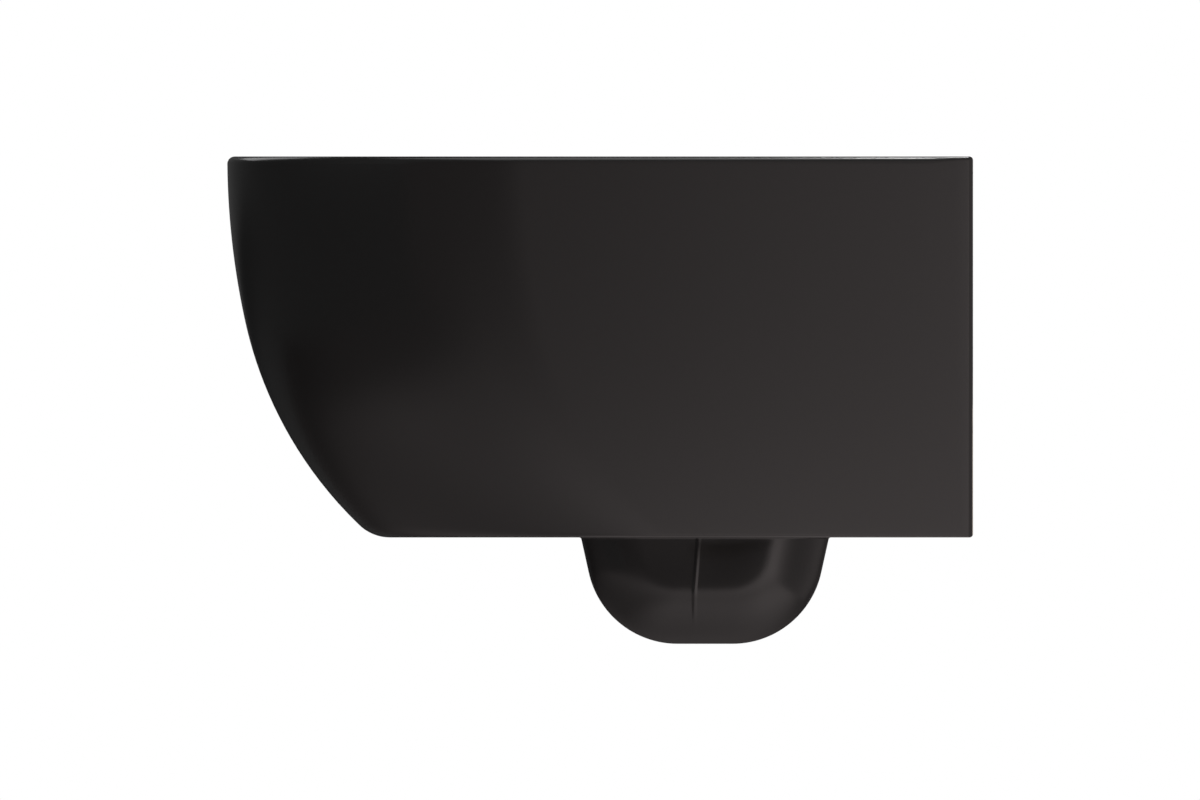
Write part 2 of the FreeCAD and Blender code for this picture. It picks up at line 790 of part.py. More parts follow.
def make_rib(side, name):
    """Make the rib that carries one side of the wall plate down to the floor, beside the waste."""
    drawing = sketch(f"rib_outline_{name}", facing="wall")
    inner = side * S.rib_spacing / 2
    top, foot = side * wall_reach(-S.plate_foot), side * wall_reach(FLOOR_TOP)
    outline(drawing, [(inner, FLOOR_TOP), (foot, FLOOR_TOP), (top, -S.plate_foot), (inner, -S.plate_foot)])
    return extrude(f"wall_rib_{name}", drawing, S.plate_thickness)


wall_plate = make_plate()
wall_ribs = [make_rib(side, name) for side, name in SIDES]

# ---- Flush water --------------------------------------------------------------------------


def make_socket():
    """Make the socket for the flush pipe, stepped down to the throat."""
    bore = rod("socket_bore", S.inlet_bore / 2, S.inlet_depth, 0, 0, S.inlet_height)
    throat = rod("socket_throat", S.throat_bore / 2, S.socket_length, 0, 0, S.inlet_height)
    outside = rod("socket_outside", SOCKET_RADIUS, S.socket_length, 0, 0, S.inlet_height)
    return cut("flush_inlet_socket", outside, bore, throat)


def oblong(name, width, height, y, z):
    """Draw an upright oblong with round ends across the pan."""
    drawing = sketch(name, 0, y, z, "wall")
    radius = height / 2
    reach = width / 2 - radius
    top = line(drawing, (reach, radius), (-reach, radius))
    left = arc(drawing, (-reach, 0), radius, 90, 270)
    bottom = line(drawing, (-reach, -radius), (reach, -radius))
    right = arc(drawing, (reach, 0), radius, -90, 90)
    join(drawing, [(top, 1, 2), (left, 1, 2), (bottom, 1, 2), (right, 1, 2)])
    return drawing


def chamber_loft(name, wall):
    """Loft the flush channel from the socket's throat to a wide flat end behind the bowl."""
    throat = S.throat_bore + wall * 2
    narrow = oblong(f"{name}_throat", throat + S.throat_flat, throat, -S.socket_length, S.inlet_height)
    width = S.chamber_width - S.chamber_wall * 2 + wall * 2
    height = S.chamber_height - S.chamber_wall * 2 + wall * 2
    fan_end, far_end = S.bowl_back - S.bowl_wall, S.bowl_back + S.bowl_wall
    fan = oblong(f"{name}_fan", width, height, -fan_end, SLOT_HEIGHT)
    mouth = oblong(f"{name}_mouth", width, height, -far_end, SLOT_HEIGHT)
    result = loft(name, [narrow, fan, mouth])
    result.Ruled = True
    return result


flush_inlet_socket = make_socket()
flush_channel = cut(
    "flush_channel",
    chamber_loft("channel_outside", S.chamber_wall),
    chamber_loft("channel_bore", 0),
    bowl_outside,
)


def start_body(name, x=0, y=0, z=0):
    """Start a body whose Z axis runs forwards from the wall."""
    return place(doc.addObject("PartDesign::Body", name), x, y, z, "wall")


def body_sketch(solid, name, role="XY_Plane"):
    """Start a sketch on one of the solid's own planes."""
    drawing = solid.newObject("Sketcher::SketchObject", name)
    plane = next(feature for feature in solid.Origin.OriginFeatures if feature.Role == role)
    drawing.AttachmentSupport = (plane, [""])
    drawing.MapMode = "FlatFace"
    return drawing


def circle(drawing, radius):
    """Draw a circle round the sketch's origin."""
    number = drawing.addGeometry(Part.Circle(Vector(0, 0, 0), Vector(0, 0, 1), as_size(radius).value))
    bind(drawing, f"Constraints[{add_radius(drawing, number, radius)}]", radius)
    drawing.addConstraint(Sketcher.Constraint("Coincident", number, 3, -1, 1))


def rectangle(drawing, half_width, low, high):
    """Draw a rectangle that is symmetrical about the sketch's Y axis."""
    outline(drawing, [(-half_width, low), (half_width, low), (half_width, high), (-half_width, high)])


def pad(solid, drawing, length):
    """Raise a sketch into the body."""
    feature = solid.newObject("PartDesign::Pad", f"{drawing.Name}_pad")
    feature.Profile = drawing
    bind(feature, "Length", length)
    drawing.Visibility = False
    return feature


def pocket(solid, drawing, length, reverse=True, both_ways=False):
    """Sink a sketch into the body."""
    feature = solid.newObject("PartDesign::Pocket", f"{drawing.Name}_pocket")
    feature.Profile = drawing
    bind(feature, "Length", length)
    feature.Reversed = reverse
    if both_ways:
        feature.SideType = "Symmetric"
    return feature


# ---- Flush insert -------------------------------------------------------------------------


def make_insert():
    """Make the hollow flush insert: open at the back, with one slot ahead and a window to each side."""
    insert = start_body("flush_insert", 0, S.bowl_wall - S.bowl_back, SLOT_HEIGHT)
    half_width, half_height = S.insert_width / 2, S.insert_height / 2
    block = body_sketch(insert, "insert_block")
    rectangle(block, half_width, -half_height, half_height)
    pad(insert, block, S.insert_length)
    hollow = body_sketch(insert, "insert_hollow")
    wall = S.insert_wall
    rectangle(hollow, half_width - wall, wall - half_height, half_height - wall)
    pocket(insert, hollow, S.insert_length - wall)
    ahead = body_sketch(insert, "insert_slot")
    slot_height = half_height - S.window_margin
    rectangle(ahead, S.insert_width / 4, -slot_height, slot_height)
    pocket(insert, ahead, S.insert_length * 2)
    window = body_sketch(insert, "insert_window", "XZ_Plane")
    # The insert's length runs up this sketch, so the windows open up and down through its front end.
    front = S.insert_length - wall
    rectangle(window, half_width - S.window_margin, front - S.window_margin, front)
    pocket(insert, window, S.insert_height * 2, both_ways=True)
    return insert


flush_insert = make_insert()
SLOT_BACK = S.bowl_back - S.bowl_wall * 2
SLOT_FRONT = S.bowl_back + S.bowl_wall * 2
gasket_block = slot_block("gasket_block", S.gasket_thickness, SLOT_FRONT, SLOT_BACK)
insert_gasket = cut(
    "insert_gasket",
    common("gasket_blank", bowl_outside, gasket_block),
    mouth_prism("gasket_mouth", LEDGE, SEAM),
    slot_block("gasket_hole", 0, SLOT_FRONT + S.bowl_wall, SLOT_BACK - S.bowl_wall),
)

# ---- Wall fixings -------------------------------------------------------------------------

FLANGE_BACK = S.plate_thickness + S.boss_length
BORE_RADIUS = S.stud_diameter / 2 + S.stud_clearance


def make_boss(side, name):
    """Make the ceramic boss that thickens the wall plate round a stud."""
    outside = stud_rod("boss_outside", side, S.boss_diameter / 2, S.boss_length, S.plate_thickness)
    hole = stud_rod("boss_hole", side, SLEEVE_RADIUS + S.sleeve_clearance, FLANGE_BACK * 2)
    return cut(f"fixing_boss_{name}", outside, hole)


def make_sleeve(side, name):
    """Make the flanged sleeve that lines the hole for a stud."""
    sleeve = start_body(f"fixing_sleeve_{name}", side * S.stud_spacing / 2)
    profile = body_sketch(sleeve, f"sleeve_profile_{name}", "XZ_Plane")
    flange_radius, flange_front = S.flange_diameter / 2, FLANGE_BACK + S.flange_thickness
    outline(profile, [
        (BORE_RADIUS, 0),
        (SLEEVE_RADIUS, 0),
        (SLEEVE_RADIUS, FLANGE_BACK),
        (flange_radius, FLANGE_BACK),
        (flange_radius, flange_front),
        (BORE_RADIUS, flange_front),
    ])
    turned = sleeve.newObject("PartDesign::Revolution", f"sleeve_turned_{name}")
    turned.Profile = profile
    turned.ReferenceAxis = (profile, ["V_Axis"])
    turned.Angle = 360
    return sleeve


def make_washer(side, name):
    """Make the steel washer between the sleeve's flange and the nut."""
    back = FLANGE_BACK + S.flange_thickness
    washer = start_body(f"fixing_washer_{name}", side * S.stud_spacing / 2, -back)
    drawing = body_sketch(washer, f"washer_ring_{name}")
    circle(drawing, S.washer_diameter / 2)
    circle(drawing, BORE_RADIUS)
    pad(washer, drawing, S.washer_thickness)
    return washer


def make_nut(side, name):
    """Make the hexagon nut that pulls the pan to the wall."""
    front = FLANGE_BACK + S.flange_thickness + S.washer_thickness
    nut = start_body(f"fixing_nut_{name}", side * S.stud_spacing / 2, -front)
    drawing = body_sketch(nut, f"nut_hexagon_{name}")
    across_corners = S.nut_width / math.cos(math.radians(30))
    corners = []
    for corner in range(6):
        angle = math.radians(60 * corner + 30)
        corners.append((across_corners / 2 * math.cos(angle), across_corners / 2 * math.sin(angle)))
    outline(drawing, corners)
    pad(nut, drawing, S.nut_thickness)
    hole = body_sketch(nut, f"nut_bore_{name}")
    circle(hole, S.stud_diameter / 2)
    pocket(nut, hole, S.nut_thickness)
    return nut


FIXING_MAKERS = (make_boss, make_sleeve, make_washer, make_nut)
fixings = [make(side, hand) for side, hand in SIDES for make in FIXING_MAKERS]

# ---- Write the pieces ---------------------------------------------------------------------

PIECES = [
    outer_shell,
    rim_deck,
    bowl,
    wall_plate,
    *wall_ribs,
    flush_inlet_socket,
    flush_channel,
    flush_insert,
    insert_gasket,
    trap_front_half,
    trap_rear_half,
    waste_elbow,
    waste_spigot,
    *fixings,
]


def check_model():
    """Stop if any object failed or any piece is not one sound solid."""
    for obj in doc.Objects:
        if "Invalid" in obj.State or "Error" in obj.State:
            raise RuntimeError(f"{obj.Name} failed: {obj.State}")
    for piece in PIECES:
        shape = piece.Shape
        if shape.isNull() or not shape.isValid() or len(shape.Solids) != 1:
            raise RuntimeError(f"{piece.Label} is not one valid solid")


def write_pieces():
    """Write each piece to its own file."""
    os.makedirs("parts", exist_ok=True)
    for piece in PIECES:
        piece.Label = piece.Name
        piece.Shape.exportStep(f"parts/{piece.Label}.step")
        print(f"{piece.Label}: {piece.Shape.Volume / 1000:.1f} cm3")


doc.recompute()
check_model()
write_pieces()
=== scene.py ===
"""Looks of a black glazed, wall hung toilet pan. Lengths are in metres, in the frame of the pan."""

import logging
import math
from dataclasses import dataclass, field
from enum import Enum
from typing import Any, Sequence

import bmesh
import bpy
import numpy as np
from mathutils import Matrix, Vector


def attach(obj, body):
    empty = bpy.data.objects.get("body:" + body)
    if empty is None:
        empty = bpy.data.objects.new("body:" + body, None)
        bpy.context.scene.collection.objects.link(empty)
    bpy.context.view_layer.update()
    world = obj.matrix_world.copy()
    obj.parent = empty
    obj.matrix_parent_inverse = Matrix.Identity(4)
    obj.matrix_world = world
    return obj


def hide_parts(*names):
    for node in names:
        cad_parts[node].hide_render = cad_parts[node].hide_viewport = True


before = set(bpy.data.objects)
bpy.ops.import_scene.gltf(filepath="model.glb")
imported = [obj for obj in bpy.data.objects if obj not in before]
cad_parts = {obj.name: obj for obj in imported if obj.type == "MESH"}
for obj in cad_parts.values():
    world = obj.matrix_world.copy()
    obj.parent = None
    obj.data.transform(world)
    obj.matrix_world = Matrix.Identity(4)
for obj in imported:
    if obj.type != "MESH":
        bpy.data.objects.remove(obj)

Array = np.ndarray
Span = tuple[float, float]
log = logging.getLogger("pan")


# ---- Shader graphs ------------------------------------------------------------------------


class Signal:
    """A shader socket that takes part in Python arithmetic."""

    def __init__(self, graph: "Graph", socket: bpy.types.NodeSocket) -> None:
        """Wrap an output socket of a graph."""
        self.graph = graph
        self.socket = socket

    def _math(self, operation: str, first: Any, second: Any) -> "Signal":
        """Return the result of a new Math node on two numbers or signals."""
        return self.graph.add("ShaderNodeMath", {"operation": operation}, {0: first, 1: second})

    def __add__(self, other: Any) -> "Signal":
        """Return self + other."""
        return self._math("ADD", self, other)

    def __radd__(self, other: Any) -> "Signal":
        """Return other + self."""
        return self._math("ADD", other, self)

    def __sub__(self, other: Any) -> "Signal":
        """Return self - other."""
        return self._math("SUBTRACT", self, other)

    def __rsub__(self, other: Any) -> "Signal":
        """Return other - self."""
        return self._math("SUBTRACT", other, self)

    def __mul__(self, other: Any) -> "Signal":
        """Return self * other."""
        return self._math("MULTIPLY", self, other)

    def __rmul__(self, other: Any) -> "Signal":
        """Return other * self."""
        return self._math("MULTIPLY", other, self)


class Graph:
    """The node graph of one material or of the world."""

    def __init__(self, tree: bpy.types.NodeTree) -> None:
        """Empty a node tree for building."""
        self.tree = tree
        tree.nodes.clear()

    def add(self, kind: str, settings: dict[str, Any], inputs: dict[Any, Any], output: Any = 0) -> Signal:
        """Add a node.

        Args:
            kind: The node's type.
            settings: Attributes to set first.
            inputs: Values or signals by socket name or number.
            output: Name or number of the output to return.

        Returns:
            The chosen output.
        """
        node = self.tree.nodes.new(kind)
        for name, value in settings.items():
            setattr(node, name, value)
        for name, value in inputs.items():
            if isinstance(value, Signal):
                self.tree.links.new(value.socket, node.inputs[name])
            else:
                node.inputs[name].default_value = value
        return Signal(self, node.outputs[output]) if node.outputs else Signal(self, None)

    def place(self) -> Signal:
        """Return the position on the object."""
        return self.add("ShaderNodeTexCoord", {}, {}, "Object")

    def along(self, axis: str) -> Signal:
        """Return the position on the object along one axis."""
        return self.add("ShaderNodeSeparateXYZ", {}, {"Vector": self.place()}, axis)

    def noise(self, scale: float, detail: float = 3.0, rough: float = 0.5) -> Signal:
        """Return noise from 0 to 1: scale in features per metre, detail in octaves, rough for the finer ones."""
        inputs = {"Vector": self.place(), "Scale": scale, "Detail": detail, "Roughness": rough}
        return self.add("ShaderNodeTexNoise", {}, inputs, "Fac")

    def step(self, value: Signal, low: float, high: float) -> Signal:
        """Return a smooth step from 0 at low to 1 at high."""
        inputs = {"Value": value, "From Min": low, "From Max": high, "To Min": 0.0, "To Max": 1.0}
        return self.add("ShaderNodeMapRange", {"interpolation_type": "SMOOTHSTEP"}, inputs)

    def mix(self, share: Any, first: Any, second: Any) -> Signal:
        """Return a mix of two colours with a share of the second."""
        inputs = {0: share, 6: first, 7: second}
        return self.add("ShaderNodeMix", {"data_type": "RGBA"}, inputs, 2)

    def bump(self, height: Signal, distance: float) -> Signal:
        """Return a normal roughened by a height that measures the distance, in metres, where it is 1."""
        return self.add("ShaderNodeBump", {}, {"Height": height, "Distance": distance, "Strength": 1.0})

    def finish_surface(self, sockets: dict[str, Any]) -> None:
        """End the graph in a Principled surface with these values and signals at its sockets."""
        shader = self.add("ShaderNodeBsdfPrincipled", {}, sockets)
        self.add("ShaderNodeOutputMaterial", {}, {"Surface": shader})

    def finish_glow(self, glow: Signal, tint: tuple[float, float, float] = (1.04, 0.93, 0.92)) -> None:
        """End the graph in a surface that glows in front and is clear behind.

        Args:
            glow: How brightly each place glows.
            tint: The light's colour.
        """
        colour = self.add("ShaderNodeVectorMath", {"operation": "SCALE"}, {"Vector": tint, "Scale": glow})
        light = self.add("ShaderNodeEmission", {}, {"Color": colour, "Strength": 1.0})
        behind = self.add("ShaderNodeNewGeometry", {}, {}, "Backfacing")
        clear = self.add("ShaderNodeBsdfTransparent", {}, {})
        surface = self.add("ShaderNodeMixShader", {}, {0: behind, 1: light, 2: clear})
        self.add("ShaderNodeOutputMaterial", {}, {"Surface": surface})


def rgb(red: float, green: float, blue: float) -> tuple[float, float, float, float]:
    """Return an opaque colour."""
    return (red, green, blue, 1.0)


# ---- Finishes -----------------------------------------------------------------------------


@dataclass(frozen=True)
class Finish:
    """A finish that can dress pieces."""

    name: str

    def build(self, graph: Graph) -> None:
        """Fill the empty graph of the finish."""
        raise NotImplementedError

    def material(self) -> bpy.types.Material:
        """Make the finish's material on first use.

        Returns:
            The material.
        """
        found = bpy.data.materials.get(self.name)
        if found:
            return found
        made = bpy.data.materials.new(self.name)
        made.use_nodes = True
        self.build(Graph(made.node_tree))
        return made


@dataclass(frozen=True)
class BlackGlaze(Finish):
    """Deep black, fired glaze that shines softly and pools a little unevenly."""

    name: str = "black_glaze"
    thin: tuple[float, ...] = rgb(0.0172, 0.0158, 0.0154)
    thick: tuple[float, ...] = rgb(0.0136, 0.0126, 0.0124)
    gloss: float = 0.13
    gloss_spread: float = 0.05
    ripple: float = 0.00006
    pool_scale: float = 9.0
    wave_scale: float = 38.0
    pit_scale: float = 900.0
    pit_span: Span = (0.70, 0.78)
    pit_rough: float = 0.08
    pit_depth: float = 0.04

    def build(self, graph: Graph) -> None:
        """Fill the graph of the glaze.

        Args:
            graph: The empty graph.
        """
        pools = graph.noise(self.pool_scale, detail=4.0)
        waves = graph.noise(self.wave_scale, detail=2.0)
        pits = graph.step(graph.noise(self.pit_scale, detail=1.0), *self.pit_span)
        graph.finish_surface({
            "Base Color": graph.mix(pools, self.thin, self.thick),
            "Roughness": self.gloss + self.gloss_spread * (pools - 0.5) + self.pit_rough * pits,
            "Normal": graph.bump(waves - self.pit_depth * pits, self.ripple),
            "IOR": 1.5,
        })


@dataclass(frozen=True)
class RawCeramic(Finish):
    """Bare fired body where no glaze was put: chalky, off white and faintly speckled."""

    name: str = "raw_ceramic"
    pale: tuple[float, ...] = rgb(0.62, 0.58, 0.52)
    warm: tuple[float, ...] = rgb(0.47, 0.42, 0.36)
    smoke: tuple[float, ...] = rgb(0.035, 0.032, 0.030)
    cloud_scale: float = 14.0
    grain_scale: float = 1400.0
    speck_scale: float = 520.0
    speck_span: Span = (0.66, 0.72)
    speck_tone: float = 0.55
    rough: float = 0.78
    rough_spread: float = 0.16
    grain_height: float = 0.00012

    def ground(self, graph: Graph) -> tuple[Signal, Signal]:
        """Draw the clouded ground of the bare body.

        Args:
            graph: The graph of a finish.

        Returns:
            The ground's colour and its grain.
        """
        cloud = graph.noise(self.cloud_scale, detail=5.0)
        grain = graph.noise(self.grain_scale, detail=3.0, rough=0.7)
        return graph.mix(cloud, self.pale, self.warm), grain

    def build(self, graph: Graph) -> None:
        """Fill the graph of the bare body.

        Args:
            graph: The empty graph.
        """
        ground, grain = self.ground(graph)
        specks = graph.step(graph.noise(self.speck_scale, detail=2.0), *self.speck_span)
        graph.finish_surface({
            "Base Color": graph.mix(self.speck_tone * specks, ground, self.smoke),
            "Roughness": self.rough + self.rough_spread * grain,
            "Normal": graph.bump(grain, self.grain_height),
        })


@dataclass(frozen=True)
class WallFace(Finish):
    """The face that the pan was fired on: bare and ground flat, with a ragged black glaze line at its rim."""

    name: str = "wall_face"
    half_width: float = 0.180
    glaze_line: float = 0.0075
    line_blend: float = 0.0012
    rag: float = 0.004
    rag_scale: float = 55.0
    scratch_scale: float = 160.0
    scratch_bend: float = 9.0
    scratch_share: float = 0.5
    glazed_rough: float = 0.16
    bare_rough: float = 0.66
    grain_height: float = 0.0001

    def build(self, graph: Graph) -> None:
        """Fill the graph of the ground face.

        Args:
            graph: The empty graph.
        """
        across = graph.add("ShaderNodeMath", {"operation": "ABSOLUTE"}, {0: graph.along("X")})
        ragged = self.rag * graph.noise(self.rag_scale, detail=4.0)
        start = self.half_width - self.glaze_line
        bare = 1.0 - graph.step(across + ragged, start, start + self.line_blend)
        ground, grain = RawCeramic().ground(graph)
        waves = {"Scale": self.scratch_scale, "Distortion": self.scratch_bend, "Detail": 4.0}
        scratches = graph.add(
            "ShaderNodeTexWave", {"bands_direction": "DIAGONAL"}, {"Vector": graph.place(), **waves}, "Fac"
        )
        graph.finish_surface({
            "Base Color": graph.mix(bare, BlackGlaze().thin, ground),
            "Roughness": self.glazed_rough + self.bare_rough * bare,
            "Normal": graph.bump(bare * (grain + self.scratch_share * scratches), self.grain_height),
        })


@dataclass(frozen=True)
class Moulded(Finish):
    """Moulded plastic or rubber with a fine, even grain."""

    colour: tuple[float, ...] = rgb(0.02, 0.02, 0.02)
    worn: tuple[float, ...] = rgb(0.03, 0.03, 0.03)
    rough: float = 0.42
    grain_height: float = 0.00003
    rough_spread: float = 0.10
    cloud_scale: float = 60.0
    grain_scale: float = 2600.0

    def build(self, graph: Graph) -> None:
        """Fill the graph of the moulding.

        Args:
            graph: The empty graph.
        """
        cloud = graph.noise(self.cloud_scale, detail=4.0)
        grain = graph.noise(self.grain_scale, detail=2.0)
        graph.finish_surface({
            "Base Color": graph.mix(cloud, self.colour, self.worn),
            "Roughness": self.rough + self.rough_spread * grain,
            "Normal": graph.bump(grain, self.grain_height),
        })


@dataclass(frozen=True)
class ZincSteel(Finish):
    """Bright zinc-plated steel with turning marks."""

    name: str = "zinc_steel"
    dull: tuple[float, ...] = rgb(0.50, 0.51, 0.52)
    bright: tuple[float, ...] = rgb(0.66, 0.66, 0.64)
    rough: float = 0.26
    rough_spread: float = 0.16
    mark_height: float = 0.00002
    spangle_scale: float = 420.0
    mark_scale: float = 2400.0

    def build(self, graph: Graph) -> None:
        """Fill the graph of the plating.

        Args:
            graph: The empty graph.
        """
        spangle = graph.noise(self.spangle_scale, detail=4.0)
        marks = graph.noise(self.mark_scale, detail=2.0)
        graph.finish_surface({
            "Base Color": graph.mix(spangle, self.dull, self.bright),
            "Metallic": 1.0,
            "Roughness": self.rough + self.rough_spread * spangle,
            "Normal": graph.bump(marks, self.mark_height),
        })


class Slot(Enum):
    """The record's material slots."""

    GLAZE = "black_glaze"
    PLASTIC = "black_plastic"
    RUBBER = "rubber"
    NYLON = "white_nylon"
    STEEL = "zinc_steel"


FINISHES: dict[Slot, Finish] = {
    Slot.GLAZE: BlackGlaze(),
    Slot.PLASTIC: Moulded("black_plastic", rgb(0.012, 0.012, 0.012), rgb(0.018, 0.018, 0.018), 0.34),
    Slot.RUBBER: Moulded("rubber", rgb(0.016, 0.016, 0.017), rgb(0.028, 0.027, 0.026), 0.68, 0.00005),
    Slot.NYLON: Moulded("white_nylon", rgb(0.72, 0.71, 0.66), rgb(0.80, 0.79, 0.76), 0.40),
    Slot.STEEL: ZincSteel(),
}


# ---- Mesh work ----------------------------------------------------------------------------


def put_in_scene(name: str, data: bpy.types.ID) -> bpy.types.Object:
    """Put a new object in the scene.

    Args:
        name: Name of the object.
        data: Its mesh, light or camera.

    Returns:
        The new object.
    """
    made = bpy.data.objects.new(name, data)
    bpy.context.scene.collection.objects.link(made)
    return made


def full_turn(count: int) -> Array:
    """Return evenly spread angles of one full turn."""
    return np.linspace(0.0, 2.0 * math.pi, count, endpoint=False)


class Ends(Enum):
    """What becomes of the first and last loop of a skin."""

    JOINED = "joined"
    CAPPED = "capped"


@dataclass
class LoopSkin:
    """A skin drawn through closed loops that all have the same number of points."""

    ends: Ends = Ends.CAPPED
    loops: list[Array] = field(default_factory=list)
    slots: list[int] = field(default_factory=list)

    def add(self, loop: Array, slot: int = 0) -> None:
        """Add the next loop, with the material number of the strip that ends in it."""
        self.loops.append(loop)
        self.slots.append(slot)

    def mesh(self, name: str) -> bpy.types.Mesh:
        """Make the mesh.

        Args:
            name: Name of the mesh.

        Returns:
            The new mesh, welded, with its faces turned outwards.
        """
        count = len(self.loops[0])
        index = np.arange(count * len(self.loops)).reshape(len(self.loops), count)
        faces: list[list[int]] = []
        slots: list[int] = []
        for number in range(0 if self.ends is Ends.JOINED else 1, len(self.loops)):
            before, after = index[number - 1], index[number]
            quads = np.stack([before, np.roll(before, -1), np.roll(after, -1), after], axis=1)
            faces.extend(quads.tolist())
            slots.extend([self.slots[number]] * count)
        if self.ends is Ends.CAPPED:
            faces.extend([index[0].tolist(), index[-1].tolist()])
            slots.extend([self.slots[0], self.slots[-1]])
        made = bpy.data.meshes.new(name)
        made.from_pydata(np.concatenate(self.loops).tolist(), [], faces)
        made.polygons.foreach_set("material_index", slots)
        tidy_mesh(made)
        return made

    def build(self, name: str) -> bpy.types.Object:
        """Make the object and put it in the scene."""
        return put_in_scene(name, self.mesh(name))


def tidy_mesh(mesh: bpy.types.Mesh, merge: float = 1e-6) -> None:
    """Weld doubled points and turn all faces outwards.

    Args:
        mesh: The mesh to tidy.
        merge: Distance under which points are welded.
    """
    work = bmesh.new()
    work.from_mesh(mesh)
    bmesh.ops.remove_doubles(work, verts=work.verts, dist=merge)
    bmesh.ops.dissolve_degenerate(work, edges=work.edges, dist=merge)
    bmesh.ops.recalc_face_normals(work, faces=work.faces)
    work.to_mesh(mesh)
    work.free()


def smooth(piece: bpy.types.Object, angle: float = 32.0, weight: int = 60) -> None:
    """Shade a piece smoothly, with sharp edges where it turns by more than an angle.

    Args:
        piece: The piece to shade.
        angle: The least sharp turn, in degrees.
        weight: How much more large faces count than small ones.
    """
    piece.data.shade_smooth()
    piece.data.set_sharp_from_angle(angle=math.radians(angle))
    weigh = piece.modifiers.new("face_weight", "WEIGHTED_NORMAL")
    weigh.keep_sharp = True
    weigh.weight = weight
    apply_modifiers(piece)


def apply_modifiers(piece: bpy.types.Object) -> None:
    """Replace a piece's mesh by its modified shape.

    Args:
        piece: The piece whose modifiers are applied.
    """
    shaped = bpy.data.meshes.new_from_object(piece.evaluated_get(bpy.context.evaluated_depsgraph_get()))
    piece.modifiers.clear()
    piece.data = shaped


def cylinder(centre: Sequence[float], axis: str, radius: float, length: float, sides: int = 72) -> LoopSkin:
    """Draw a cylinder that runs both ways from its centre.

    Args:
        centre: Its middle.
        axis: "X", "Y" or "Z".
        radius: Its radius.
        length: Its length.
        sides: Points round it.

    Returns:
        The closed cylinder.
    """
    turn = full_turn(sides)
    along = "XYZ".index(axis)
    first, second = [number for number in range(3) if number != along]
    skin = LoopSkin()
    for end in (-0.5, 0.5):
        loop = np.tile(np.array(centre, dtype=float), (sides, 1))
        loop[:, first] += radius * np.cos(turn)
        loop[:, second] += radius * np.sin(turn)
        loop[:, along] += end * length
        skin.add(loop)
    return skin


def rounded_block(
    low: Sequence[float], high: Sequence[float], radius: float, axis: str = "Z", steps: int = 10
) -> LoopSkin:
    """Draw a block whose four edges along one axis are rounded.

    Args:
        low: Its lowest corner.
        high: Its highest corner.
        radius: Radius of the rounded edges.
        axis: "X", "Y" or "Z".
        steps: Steps in each corner.

    Returns:
        The closed block.
    """
    along = "XYZ".index(axis)
    first, second = [number for number in range(3) if number != along]
    corners = ((high[first], high[second]), (low[first], high[second]))
    corners += ((low[first], low[second]), (high[first], low[second]))
    outline = []
    for quarter, (across, up) in enumerate(corners):
        centre_across = across + radius * (-1 if across == high[first] else 1)
        centre_up = up + radius * (-1 if up == high[second] else 1)
        for turn in np.radians(np.linspace(90.0 * quarter, 90.0 * quarter + 90.0, steps + 1)):
            outline.append((centre_across + radius * math.cos(turn), centre_up + radius * math.sin(turn)))
    skin = LoopSkin()
    for end in (low[along], high[along]):
        loop = np.empty((len(outline), 3))
        loop[:, (first, second)] = outline
        loop[:, along] = end
        skin.add(loop)
    return skin


def cut_away(piece: bpy.types.Object, solids: Sequence[LoopSkin], slot: int = 0) -> None:
    """Cut solids out of a piece. The solids don't touch one another.

    Args:
        piece: The piece to cut, already dressed.
        solids: The solids to take away.
        slot: Material number of the cut faces.
    """
    work = bmesh.new()
    for solid in solids:
        shape = solid.mesh("cutter")
        work.from_mesh(shape)
        bpy.data.meshes.remove(shape)
    mesh = bpy.data.meshes.new("cutter")
    work.to_mesh(mesh)
    work.free()
    mesh.polygons.foreach_set("material_index", [slot] * len(mesh.polygons))
    for material in piece.data.materials:
        mesh.materials.append(material)
    tool = put_in_scene("cutter", mesh)
    cut = piece.modifiers.new("cut", "BOOLEAN")
    cut.operation = "DIFFERENCE"
    cut.solver = "EXACT"
    cut.object = tool
    apply_modifiers(piece)
    bpy.data.objects.remove(tool)


def dress(piece: bpy.types.Object, *finishes: Finish) -> None:
    """Give a piece its materials.

    Args:
        piece: The piece to dress.
        finishes: One finish for each material number.
    """
    piece.data.materials.clear()
    for finish in finishes:
        piece.data.materials.append(finish.material())


# ---- Forms --------------------------------------------------------------------------------


class Stretch(Enum):
    """The stretches of the body's plan outline."""

    BACK = 0
    CORNER = 1
    SIDE = 2
    NOSE = 3


@dataclass(frozen=True)
class Stations:
    """Places round the plan outline, counted from the middle of the back by the left side."""

    stretch: Array
    side: Array
    share: Array

    @classmethod
    def spread(cls, back: int = 10, corner: int = 6, side: int = 36, nose: int = 92) -> "Stations":
        """Spread stations over the outline.

        Args:
            back: Stations on half the back.
            corner: Stations on a back corner.
            side: Stations on a straight side.
            nose: Stations on half the nose.

        Returns:
            The stations of the whole outline.
        """
        half = [(Stretch.BACK.value, n / back) for n in range(back)]
        half += [(Stretch.CORNER.value, 1.0 - n / corner) for n in range(corner)]
        half += [(Stretch.SIDE.value, n / side) for n in range(side)]
        half += [(Stretch.NOSE.value, n / nose) for n in range(nose)]
        right = [(kind, share, 1.0) for kind, share in half[1:]][::-1]
        whole = [(kind, share, -1.0) for kind, share in half] + [(Stretch.NOSE.value, 1.0, 1.0)] + right
        kinds, shares, sides = (np.array(column) for column in zip(*whole))
        return cls(kinds, sides, shares)


